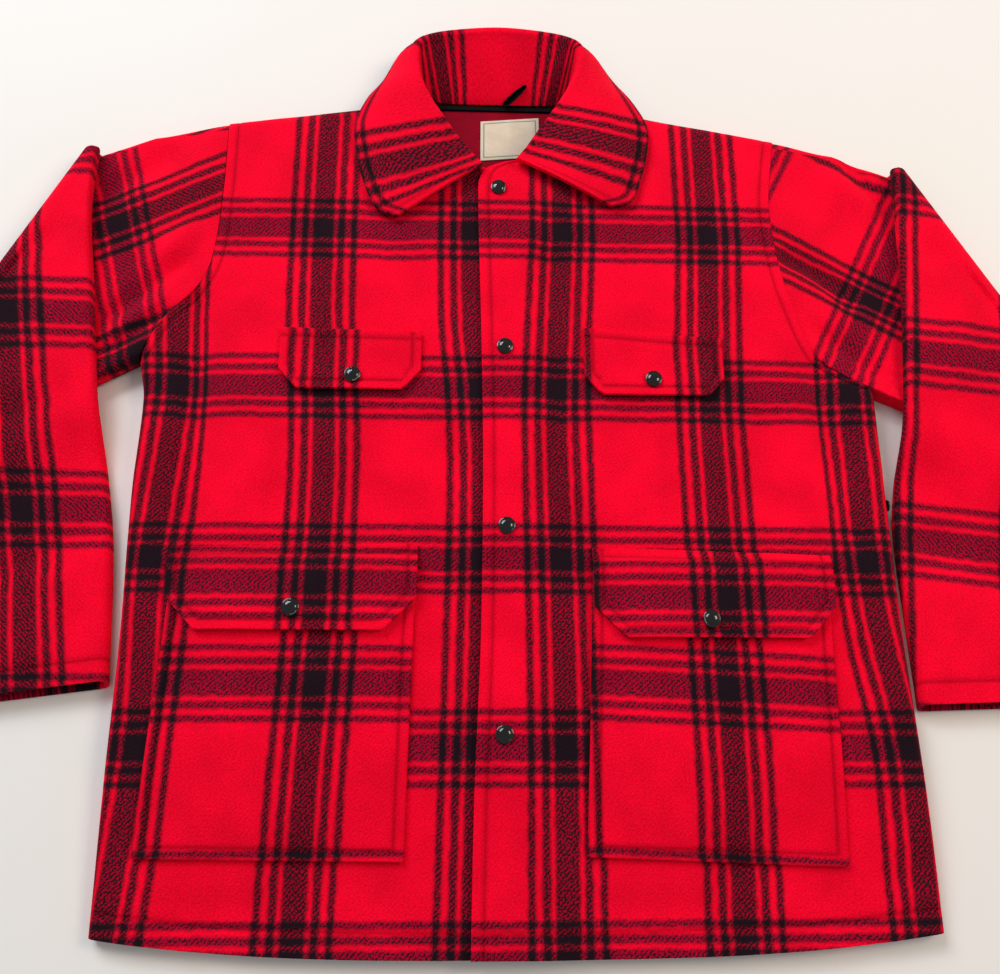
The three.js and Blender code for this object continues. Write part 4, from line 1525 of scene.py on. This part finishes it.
    def rings(self, side: Side) -> tuple[Array, Array, Array]:
        """All rings of one sleeve: places, where on the fold they lie, lengths to the cuff.

        Args:
            side: Which sleeve.

        Returns:
            Three arrays with one row for each ring, in mm.
        """
        line = self.lines[side]
        found = []
        for t in np.linspace(0, 1, 27):
            found.append((self.upper_ring(side, line, float(t)), -1.0, self.far))
        for turn in np.linspace(0, math.pi, 12)[1:]:
            found.append((self.bend_ring(line, float(turn)), float(turn), self.far))
        inner = math.dist((line.inner_x[-2], line.inner_y[-2]), (line.inner_x[-1], line.inner_y[-1]))
        inner_span = inner / (1 - line.inner_at[-2])
        outer_span = math.dist(self.fold_end(line), line.cuff)
        zone = self.cuff_zone
        inner_end, outer_end = 1 - zone[0] / inner_span, 1 - zone[0] / outer_span
        for share in (np.arange(1, 49) / 48) ** 1.1:
            ring = self.fore_ring(line, share * inner_end, share * outer_end)
            found.append((ring, self.unfolded_part, self.far))
        for reach in zone[1:]:
            ring = self.fore_ring(line, 1 - reach / inner_span, 1 - reach / outer_span)
            found.append((ring, self.unfolded_part, reach))
        places, part, to_cuff = zip(*found)
        return np.array(places), np.array(part), np.array(to_cuff)

    def ring_runs(self, places: Array) -> Array:
        """The direction of each ring, from its near edge to its far edge."""
        run = places[:, self.flat_points - 1, :2] - places[:, 0, :2]
        return (run / np.linalg.norm(run, axis=1)[:, None])[:, None, :]

    def flat_places(self, side: Side, places: Array, heights: Array, part: Array) -> Array:
        """Unfolds the sleeve about its crease, and gives each point's place on the cut cloth.

        Args:
            side: Which sleeve.
            places: Where the points lie.
            heights: Their heights over the middle of the tube.
            part: For each ring -1 before the fold, its angle in the half turn, or the forearm's mark.

        Returns:
            Places on the cut cloth, in mm.
        """
        line = self.lines[side]
        out = np.array(self.out_of_fold(line))
        run = np.array(line.run)
        offset = places[:, :, :2] - np.array(line.crease)
        along = offset @ run
        reach = self.fold_radius - heights
        away = -(offset @ out)
        part = part[:, None]
        past = np.where(part < 0, -away - reach * HALF_PI, away + reach * HALF_PI)
        bent = (part >= 0) & (part < self.unfolded_part)
        past = np.where(bent, reach * (part - HALF_PI), past)
        return np.array(line.crease) + along[..., None] * run - past[..., None] * out

    def cloth(self, side: Side, unfolded: Array, frame: SleevePlaid) -> Array:
        """Places on the cut cloth for one layer of a sleeve.

        Args:
            side: Which sleeve.
            unfolded: The sleeve's points, unfolded about its crease.
            frame: Where that layer's stripes cross, and which way they run.

        Returns:
            The places, with the warp across and the weft along.
        """
        origin, run = np.array(frame.cross), np.array(frame.run)
        run = run / np.linalg.norm(run)
        line = self.lines[side]
        crease, out = np.array(line.crease), np.array(self.out_of_fold(line))
        if frame.on_upper:
            origin = origin - 2 * ((origin - crease) @ out) * out
            run = run - 2 * (run @ out) * out
        else:
            origin = origin - (self.fold_radius + self.depth / 2) * HALF_PI * out
        local = unfolded - origin
        across = local[..., 0] * run[1] - local[..., 1] * run[0]
        along = frame.lean * across - local @ run
        woven = Profile(frame.groups, WEFT_GROUPS).smooth(along)
        return np.stack([frame.widths.smooth(across), woven], -1)

    def build(self) -> None:
        """Makes both sleeves, each closed along its seam."""
        shop = self.shop
        share, angle = self.steps()
        upper = np.arange(len(share)) < len(share) // 2
        for side in Side:
            places, part, to_cuff = self.rings(side)
            spread = np.copy(places)
            spread[:, :, :2] += self.wrap()[None, :, None] * self.depth / 2 * self.ring_runs(places)
            layer = np.where(upper, self.depth / 2, -self.depth / 2)[None, :]
            unfolded = self.flat_places(side, spread, layer, part)
            flat = np.stack([self.cloth(side, unfolded, frame) for frame in self.plaid[side]])
            stitch = channel(to_cuff - self.cuff_stitch, 1.6)[:, None] * np.ones(len(share))[None, :]
            facing = np.sin(angle)[None, :] * np.where(part < self.unfolded_part, 1, -1)[:, None]
            places[:, :, 2] -= self.groove * stitch * facing
            piece = shop.grid(f"wool_sleeve_{side.word}", places, flat, stitch, upper)
            shop.close_seam(piece)
            shop.thicken(piece, WALL, -1, 1.1)
            shop.dress(piece, shop.finishes.wool, "wool", (f"sleeve_{side.word}",))


@dataclass
class Collar:
    """The turned-down collar, from its neck seam over its roll to its free edge."""

    shop: Workshop
    wall: float = 4.0
    turn: float = 2.6
    groups: Profile = Profile((0, 2.3, 8.1, 12.1, 17, 20), (-2.35, -2, -1, 0, 1, 1.41))
    from_edge: Profile = Profile((0, 30, 140), (16, 46, 105))
    right_lean: float = 0.2
    stitch_in: float = 7.0
    stand: float = 30.0  # length of cloth inside the neck, without the edge's stitching
    leaf_bow: float = 3.2
    stations: tuple[tuple[tuple[float, float, float], ...], ...] = (
        ((-12, 331, 23), (-5, 333, 25.6), (-75, 284, 23)),
        ((-30, 339, 22.8), (-15, 343, 28), (-93, 293, 23)),
        ((-46, 352, 22.8), (-27, 357, 31), (-104, 318, 23)),
        ((-59, 367, 22.8), (-39, 374, 34), (-110, 345, 23)),
        ((-67, 385, 22), (-50, 391, 36), (-112, 372, 23)),
        ((-71, 400, 18), (-58, 410, 37), (-103, 398, 21.4)),
        ((-62, 412, 9), (-62, 430, 36), (-91, 427, 9)),
        ((-50, 411, 6.5), (-61, 448, 35), (-80, 452, 5)),
        ((-37, 409.5, 5.8), (-48, 456, 35), (-60, 468, 4)),
        ((-20, 409, 5.7), (-24, 460, 36), (-28, 472, 3.5)),
        ((8, 409, 5.7), (8, 463, 36), (8, 474, 3.5)),
        ((34, 409, 5.7), (38, 461, 36), (44, 473, 3.5)),
        ((54, 409.5, 5.8), (65, 457, 35), (78, 470, 4)),
        ((66, 411, 6.5), (78, 449, 35), (97, 455, 5)),
        ((78, 412, 9), (78, 431, 36), (112, 430, 9)),
        ((86, 400, 18), (69, 403, 37), (125, 400, 21.4)),
        ((81, 385, 22), (57, 382, 36), (136, 375, 23)),
        ((71, 370, 22.8), (45, 364, 34), (135, 350, 23)),
        ((58, 357, 23.6), (34, 347, 32), (129, 325, 23)),
        ((46, 347, 26.2), (28, 340, 30), (121, 303, 24)),
        ((33, 339, 27), (25, 336, 29.6), (104, 296, 25)),
    )

    def dense(self, per_station: int) -> Array:
        """The stations on smooth curves, closer together.

        Args:
            per_station: How many steps each station is split into.

        Returns:
            One row of sizes for each step.
        """
        marks = np.array(self.stations, float)
        at = tuple(float(k) for k in range(len(marks)))
        fine = np.linspace(0, len(marks) - 1, (len(marks) - 1) * per_station + 1)
        flat = marks.reshape(len(marks), 9)
        read = [Profile(at, tuple(flat[:, k])).smooth(fine) for k in range(9)]
        return np.stack(read, -1).reshape(-1, 3, 3)

    def line(self, station: Array, run: Array) -> Array:
        """Middle of the cloth at one station: up from the neck seam, round the roll, down to the edge.

        Args:
            station: The sizes of the collar there.
            run: Lengths from the neck seam, in mm.

        Returns:
            Places in mm.
        """
        neck, roll, edge = station
        apex = roll - (neck + edge) / 2
        apex = apex - run * apex.dot(run)
        apex /= np.linalg.norm(apex)
        over = np.cross(apex, run)
        over /= np.linalg.norm(over)
        centre = roll - apex * self.turn
        foot = centre - over * self.turn
        line = [blend(neck, foot, s) for s in np.linspace(0, 1, 9)[:-1]]
        for angle in np.linspace(0, math.pi, 9):
            line.append(centre - over * self.turn * math.cos(angle) + apex * self.turn * math.sin(angle))
        start = line[-1]
        for s in list(np.linspace(0, 1, 13)[1:-2]) + [0.87, 0.9, 0.93, 0.97, 1.0]:
            bow = over * self.leaf_bow * math.sin(math.pi * s) * (1 - 0.4 * s)
            line.append(blend(start, edge, s) + bow)
        return np.array(line)

    def build(self) -> None:
        """Makes the collar."""
        stations = self.dense(6)
        rolls = stations[:, 1]
        runs = np.gradient(rolls, axis=0)
        runs /= np.linalg.norm(runs, axis=1)[:, None]
        lines = np.array([self.line(s, r) for s, r in zip(stations, runs)])
        step = np.linalg.norm(np.diff(lines, axis=1), axis=2)
        wide = np.concatenate([np.zeros((len(lines), 1)), np.cumsum(step, axis=1)], axis=1)
        left = wide[:, -1:] - wide
        station = np.linspace(0, len(self.stations) - 1, len(lines))
        across = self.groups.smooth(station) * WARP_REPEAT
        leaning = self.right_lean * (1 - ease(5.5, 8, station))[:, None] * left
        flat = np.stack([across[:, None] + leaning, self.from_edge.smooth(left)], -1)
        ends = np.minimum(across - across[0], across[-1] - across)[:, None]
        stitch = np.maximum(channel(left - self.stitch_in), channel(ends - self.stitch_in))
        stitch = stitch * (wide > self.stand)
        piece = self.shop.grid("wool_collar", lines, flat, stitch)
        self.shop.orient(piece, (0, 0, 1))
        self.shop.thicken(piece, self.wall, 0, 1.5)
        self.shop.dress(piece, self.shop.finishes.wool, "wool", ("collar",))


@dataclass
class PatchPockets:
    """The two lower patch pockets, proud of the fronts between their seams."""

    shape: CoatShape
    shop: Workshop
    bulge: float = 3.0
    stitch_in: float = 7.5
    groove: float = 0.9
    rim: tuple[float, ...] = (0, 1.3, 3.5, 5.6, 6.6, 7.5, 8.4, 9.6, 12)
    corners: dict = field(
        default_factory=lambda: {
            Side.RIGHT: ((-240, -56, -213, -216), (-230, -52, -12, -12)),
            Side.LEFT: ((70, 252, -213, -220), (79, 255, -12, -12)),
        }
    )
    plaid: dict = field(
        default_factory=lambda: {
            Side.RIGHT: (-121.5, -96.0, 0.045, 0.0),
            Side.LEFT: (173.5, -99.0, -0.011, 0.05),
        }
    )

    def swell(self, side: Side, x: Array, y: Array) -> Array:
        """How far a pocket stands off the front beneath it.

        Args:
            side: The wearer's side.
            x: Places across the coat, in mm.
            y: Places up the coat, in mm.

        Returns:
            The height in mm.
        """
        bottom, top = self.corners[side]
        v = np.clip((y - bottom[2]) / (top[2] - bottom[2]), 0, 1)
        x1, x2 = blend(bottom[0], top[0], v), blend(bottom[1], top[1], v)
        u = np.clip((x - x1) / (x2 - x1), 0, 1)
        return self.bulge * ease(0, 0.22, u) * ease(0, 0.22, 1 - u) * ease(0, 0.18, v)

    def top(self, side: Side, x: Array, y: Array) -> Array:
        """Outer height of a pocket."""
        return self.shape.front_top(side, x, y) + LAY_GAP + WALL + self.swell(side, x, y)

    def build(self) -> None:
        """Makes both pockets."""
        for side in Side:
            bottom, top = (np.array(c, float) for c in self.corners[side])
            wide, high = bottom[1] - bottom[0], top[2] - bottom[2]
            rim = list(self.rim)
            u = np.array(rim + list(np.linspace(17, wide - 17, 30)) + [wide - r for r in rim[::-1]]) / wide
            v = np.array(rim + list(np.linspace(17, high, 34))) / high
            x1, x2, y1, y2 = (blend(bottom[k], top[k], v[:, None]) for k in range(4))
            x = blend(x1, x2, u[None, :])
            y = blend(y1, y2, u[None, :])
            side_gap = np.minimum(u, 1 - u)[None, :] * wide
            low_gap = v[:, None] * high
            stitch = channel(np.minimum(side_gap, low_gap) - self.stitch_in)
            z = self.top(side, x, y) - self.groove * stitch
            x0, y0, lean, tilt = self.plaid[side]
            flat = np.stack([x - x0 - (y - y0) * lean, y - y0 + (x - x0) * tilt], -1)
            points = np.stack([x, y, z], -1)
            piece = self.shop.wool_panel(f"pocket_{side.word}", points, flat, stitch, 1.2)


@dataclass(frozen=True)
class FlapSize:
    """The outline of one flap with chamfered corners, and where its plaid falls."""

    name: str
    x1: float
    x2: float
    top1: float
    top2: float
    low: float
    chamfer: float
    cut: float
    over_pocket: bool
    plaid: tuple[float, float]


@dataclass
class Flaps:
    """The four pocket flaps."""

    shape: CoatShape
    pockets: PatchPockets
    shop: Workshop
    curl: float = 2.0
    stitch_in: float = 7.0
    groove: float = 0.9
    rim: tuple[float, ...] = (0, 1.3, 3.5, 5.2, 6.2, 7, 7.8, 9.2, 11)
    seam_rim: tuple[float, ...] = (8.4, 7, 5.6, 3, 1.3, 0)
    share_left: float = 0.96  # of the rectangle, once its corners are cut off
    sizes: tuple[FlapSize, ...] = (
        FlapSize("lower_flap_right", -233, -51, 3, 7, -59, 25, 24, True, (-124.2, -24.0)),
        FlapSize("lower_flap_left", 79, 258, 5, 0, -63, 24, 22, True, (177.0, -34.0)),
        FlapSize("chest_flap_right", -163, -52, 182, 180, 130, 17, 14, False, (-128.2, 225.0)),
        FlapSize("chest_flap_left", 77, 188, 185, 178, 128, 16, 13, False, (176.0, 225.0)),
    )

    def underside(self, flap: FlapSize, x: Array, y: Array) -> Array:
        """Height of a flap's underside: on the front at its seam, then over the pocket.

        Args:
            flap: The flap's sizes.
            x: Places across the coat, in mm.
            y: Places up the coat, in mm.

        Returns:
            The height in mm.
        """
        side = Side.LEFT if flap.x1 > 0 else Side.RIGHT
        base = self.shape.front_top(side, x, y) + LAY_GAP
        curl = self.curl * (1 - ease(flap.low, flap.low + 26, y))
        if not flap.over_pocket:
            return base + curl
        over = 1 - ease(-7, 1, y)
        return base + curl + over * (self.pockets.top(side, x, y) + LAY_GAP - base)

    def build(self) -> None:
        """Makes the four flaps."""
        for flap in self.sizes:
            wide = flap.x2 - flap.x1
            high = (flap.top1 + flap.top2) / 2 - flap.low
            rim = list(self.rim)
            inside = list(np.linspace(15, wide - 15, int(wide / 5)))
            u = np.array(rim + inside + [wide - r for r in rim[::-1]]) / wide
            rows = rim + list(np.linspace(15, high - 11, 9)) + [high - r for r in self.seam_rim]
            v = np.array(rows) / high
            x = np.broadcast_to(flap.x1 + wide * u[None, :], (len(v), len(u)))
            from_side = np.minimum(x - flap.x1, flap.x2 - x)
            low = flap.low + flap.chamfer * np.clip(1 - from_side / flap.cut, 0, 1)
            top = blend(flap.top1, flap.top2, u[None, :])
            y = blend(low, top, v[:, None])
            slope = math.cos(math.atan2(flap.chamfer, flap.cut))
            edge = np.minimum(from_side, (y - low) * np.where(from_side < flap.cut, slope, 1.0))
            stitch = np.maximum(channel(edge - self.stitch_in), channel(top - y - self.stitch_in))
            z = self.underside(flap, x, y) + WALL - self.groove * stitch
            flat = np.stack([x - flap.plaid[0], y - flap.plaid[1]], -1)
            piece = self.shop.wool_panel(flap.name, np.stack([x, y, z], -1), flat, stitch, 1.2)


@dataclass
class NeckInside:
    """What shows inside the neck: the lining, the tape on its seam, the label and the loop."""

    shop: Workshop
    lining: tuple[float, ...] = (-50, 68, 306, 402.6, 0, LAID + 1.2, 0)  # as patch() takes them
    tape: tuple[float, ...] = (-44, 62, 403, 406.6, 0, LAID + 3, 0)
    label: tuple[float, ...] = (-6, 45, 352, 392, 5, 5.4, 0.9)
    tape_cut: float = 7.0
    loop_half: tuple[float, float] = (12.6, 1.4)
    loop_tape: float = 4.4
    loop_tilt: float = 0.62
    loop_turn: float = 0.72
    loop_place: tuple[float, float, float] = (23.6, 413.4, 13.2)

    def patch(
        self, x1: float, x2: float, y1: float, y2: float, slant: float, z: float, wave: float
    ) -> tuple[Array, Array]:
        """A slightly uneven rectangle of thin cloth, with its flat places.

        Args:
            x1: Its left side.
            x2: Its right side.
            y1: Its lower side.
            y2: Its upper side.
            slant: How much higher its right end lies.
            z: Its height.
            wave: How uneven it is.

        Returns:
            Places and flat places, in mm.
        """
        u, v = np.linspace(0, 1, 40)[None, :], np.linspace(0, 1, 34)[:, None]
        x = blend(x1, x2, u) + 0 * v
        y = blend(y1, y2, v) + slant * u
        rim = ease(0, 0.12, u) * ease(0, 0.12, 1 - u) * ease(0, 0.12, v) * ease(0, 0.12, 1 - v)
        height = z + wave * (0.5 + 0.5 * ripple(x, y, 14, 4.0)) * rim
        middle = (x1 + x2) / 2, (y1 + y2) / 2
        return np.stack([x, y, height], -1), np.stack([x - middle[0], y - slant * u - middle[1]], -1)

    def build(self) -> None:
        """Makes the four pieces."""
        shop, looks = self.shop, self.shop.finishes
        specs = (
            ("satin_neck_lining", "neck_lining", self.lining, 1.2, "satin", looks.satin),
            ("woven_neck_tape", "neck_tape", self.tape, 3, "tape", looks.tape),
            ("woven_label", "label", self.label, 0.6, "label", looks.label),
        )
        for name, node, size, wall, slot, look in specs:
            points, flat = self.patch(*size)
            piece = shop.grid(name, points, flat)
            shop.orient(piece, (0, 0, 1))
            shop.thicken(piece, wall, -1, wall * 0.3)
            shop.dress(piece, look, slot, (node,))
        self.loop()

    def loop(self) -> None:
        """A narrow twisted loop of tape that leans on the collar."""
        turn = np.linspace(0, 2 * math.pi, 73)
        half, wide = self.loop_half
        outline = [half * np.cos(turn), wide * np.sin(turn) * (1 - 0.35 * np.cos(turn)), 0 * turn]
        middle = np.stack(outline, -1)
        outward = np.stack([0 * turn, np.sign(np.sin(turn)) * np.abs(np.sin(turn)) ** 0.5, 0 * turn], -1)
        across = np.array([0, 0, 1.0]) + outward * 0.6
        across /= np.linalg.norm(across, axis=1)[:, None]
        spread = np.linspace(-0.5, 0.5, 5)[None, :, None] * self.loop_tape
        points = middle[:, None, :] + across[:, None, :] * spread
        axes = Matrix.Rotation(self.loop_tilt, 3, "X") @ Matrix.Rotation(self.loop_turn, 3, "Z")
        points = points @ np.array(axes).T + np.array(self.loop_place)
        length = np.broadcast_to(turn[:, None] * half * 0.65, points.shape[:2])
        flat = np.stack([np.broadcast_to(spread[0, :, 0], points.shape[:2]), length], -1)
        piece = self.shop.grid("woven_hanger_loop", points, flat)
        self.shop.close_seam(piece)
        self.shop.thicken(piece, 1.0, 0, 0.3)
        self.shop.dress(piece, self.shop.finishes.tape, "tape", ("hanger_loop",))


@dataclass
class Snaps:
    """The domed caps down the front and on the flaps, modelled once and copied."""

    shape: CoatShape
    flaps: Flaps
    shop: Workshop
    radius: float = 6.5
    rim: float = 1.5
    rim_round: float = 0.45
    dome: tuple = ((0.9, 0.35), (0.35, -0.25), (0.5, 0.5), (0.9, 0.5), (1.2, 0.35), (1.3, 0.18))
    places: tuple[tuple[str, float, float, int], ...] = (
        ("front_snap_1", 9, 313, -1),
        ("front_snap_2", 14, 168, -1),
        ("front_snap_3", 15, 21, -1),
        ("front_snap_4", 13, -131, -1),
        ("chest_snap_right", -105, 141, 2),
        ("chest_snap_left", 131, 141, 3),
        ("lower_snap_right", -141, -43, 0),
        ("lower_snap_left", 163, -50, 1),
    )

    def cap(self) -> Piece:
        """One cap at the origin: a rolled rim, a shallow ledge and a low dome.

        Returns:
            The cap, 13 mm across.
        """
        deselect_all()
        bpy.ops.mesh.primitive_cylinder_add(
            vertices=48,
            radius=self.radius * MM,
            depth=self.rim * MM,
            location=(0, 0, self.rim / 2 * MM),
            end_fill_type="NGON",
        )
        cap = bpy.context.object
        cap.name = "snap_cap"
        bpy.ops.object.transform_apply(location=True, rotation=True, scale=True)
        bpy.ops.object.mode_set(mode="EDIT")
        bpy.ops.mesh.select_all(action="DESELECT")
        bpy.ops.object.mode_set(mode="OBJECT")
        for face in cap.data.polygons:
            face.select = face.normal.z > 0.9
        bpy.ops.object.mode_set(mode="EDIT")
        bpy.ops.mesh.select_mode(type="FACE")
        for inward, up in self.dome:
            bpy.ops.mesh.inset(thickness=inward * MM, depth=0.0)
            bpy.ops.transform.translate(value=(0, 0, up * MM))
        bpy.ops.object.mode_set(mode="OBJECT")
        soft = cap.modifiers.new("rolled rim", "BEVEL")
        soft.width, soft.segments = self.rim_round * MM, 3
        soft.limit_method, soft.angle_limit = "ANGLE", math.radians(40)
        bpy.ops.object.modifier_apply(modifier=soft.name)
        bpy.ops.object.shade_smooth()
        return cap

    def base(self, x: float, y: float, flap: int) -> float:
        """Height at which a cap clears the cloth under its rim.

        Args:
            x: The cap's place across, in mm.
            y: Its place up the coat, in mm.
            flap: The number of the flap that it is on, or -1.

        Returns:
            The height in mm.
        """
        turn = np.linspace(0, 2 * math.pi, 25)[:-1]
        ring_x, ring_y = x + self.radius * np.cos(turn), y + self.radius * np.sin(turn)
        if flap < 0:
            return float(self.shape.front_top(Side.LEFT, ring_x, ring_y).max()) + SEAM
        return float(self.flaps.underside(self.flaps.sizes[flap], ring_x, ring_y).max()) + WALL + SEAM

    def build(self) -> None:
        """Makes the first cap and copies it to every place."""
        cap = self.cap()
        for name, x, y, flap in self.places:
            copy = cap.copy()
            copy.data = cap.data.copy()
            copy.name = copy.data.name = f"cap_{name}"
            bpy.context.collection.objects.link(copy)
            where = (np.array([x, y, self.base(x, y, flap)]) + self.shop.shift) * MM
            copy.data.transform(Matrix.Translation(Vector(where)))
            self.shop.dress(copy, self.shop.finishes.enamel, "snap", (name,))
        self.side_cap(cap)
        bpy.data.objects.remove(cap)

    def side_cap(self, cap: Piece) -> None:
        """The smaller cap that shows edge-on at the left side seam.

        Args:
            cap: The cap that it is a copy of.
        """
        low, high = (Vector(c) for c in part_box("side_snap"))
        copy = cap.copy()
        copy.data = cap.data.copy()
        copy.name = copy.data.name = "cap_side_snap"
        bpy.context.collection.objects.link(copy)
        scale = (high.z - low.z) / (2 * self.radius * MM)
        middle = (low + high) / 2
        turn = Matrix.Rotation(HALF_PI, 4, "Y")
        copy.data.transform(
            Matrix.Translation(Vector((low.x, middle.y, middle.z))) @ turn @ Matrix.Scale(scale, 4)
        )
        self.shop.dress(copy, self.shop.finishes.enamel, "snap", ("side_snap",))


@dataclass
class Studio:
    """The floor, the soft light and the camera at the photograph's angle."""

    place: tuple[float, float, float] = (-35.5, -272.9, 746.6)
    right: tuple[float, float, float] = (0.99926, -0.0012, 0.0386)
    up: tuple[float, float, float] = (-0.0103, 0.9549, 0.2970)
    ahead: tuple[float, float, float] = (0.0372, 0.2972, -0.9541)
    focal: float = 36.0  # as long as the sensor is wide
    floor_size: float = 8.0
    air: str = "F4F5F8"
    air_strength: float = 0.42
    lamps: tuple[tuple[str, float, float, tuple[float, float, float], str], ...] = (
        ("window", 1.5, 67.0, (-1.6, 1.8, 2.0), "F4F7FF"),
        ("pane", 0.24, 4.0, (-0.5, 1.5, 1.5), "FFFFFF"),
        ("fill", 0.7, 15.0, (1.35, 0.35, 1.5), "FFEAD4"),
    )

    def build(self) -> None:
        """Adds the camera, the floor and the lights."""
        data = bpy.data.cameras.new("camera")
        data.lens, data.sensor_width, data.sensor_fit = self.focal, self.focal, "HORIZONTAL"
        data.clip_start = 0.01
        camera = bpy.data.objects.new("camera", data)
        bpy.context.collection.objects.link(camera)
        axes = Matrix((self.right, self.up, tuple(-v for v in self.ahead))).transposed()
        turn = axes.to_quaternion().to_matrix().to_4x4()
        camera.matrix_world = Matrix.Translation(Vector(self.place) * MM) @ turn
        bpy.context.scene.camera = camera
        self.floor()
        for lamp in self.lamps:
            self.light(*lamp)
        bpy.context.scene.view_settings.view_transform = "Standard"
        world = bpy.data.worlds.new("room")
        bpy.context.scene.world = world
        world.use_nodes = True
        background = world.node_tree.nodes["Background"]
        sky = {"Color": linear(self.air), "Strength": self.air_strength}
        fill_sockets(world.node_tree, background, sky)

    def floor(self) -> None:
        """Adds the pale floor."""
        deselect_all()
        bpy.ops.mesh.primitive_plane_add(size=self.floor_size, location=(0, 0, 0))
        floor = bpy.context.object
        floor.name = "pale_floor"
        floor.data.materials.append(PaintedFloor().build())

    def light(
        self, name: str, size: float, watts: float, place: tuple[float, float, float], code: str
    ) -> None:
        """Adds one soft panel of light that looks at the coat.

        Args:
            name: Its name.
            size: The side of the panel, in metres.
            watts: Its power.
            place: Where it hangs, in metres.
            code: Its sRGB hex colour.
        """
        data = bpy.data.lights.new(name, "AREA")
        data.size, data.energy, data.color = size, watts, linear(code)[:3]
        lamp = bpy.data.objects.new(name, data)
        bpy.context.collection.objects.link(lamp)
        lamp.location = place
        lamp.rotation_euler = (Vector((0, 0, 0)) - Vector(place)).to_track_quat("-Z", "Y").to_euler()


def main() -> None:
    """Builds the coat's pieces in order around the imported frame."""
    logging.basicConfig(level=logging.INFO, format="%(message)s")
    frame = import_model()
    LOG.info("frame with %d nodes", len(frame["nodes"]))
    Studio().build()
    shop = Workshop(Finishes())
    shape, phase = CoatShape(), PlaidPhase()
    Back(shape, phase, shop).build()
    Fronts(shape, phase, shop).build()
    Sleeves(shape, shop).build()
    pockets = PatchPockets(shape, shop)
    pockets.build()
    flaps = Flaps(shape, pockets, shop)
    flaps.build()
    Collar(shop).build()
    NeckInside(shop).build()
    Snaps(shape, flaps, shop).build()
    deselect_all()


if __name__ == "__main__":
    main()
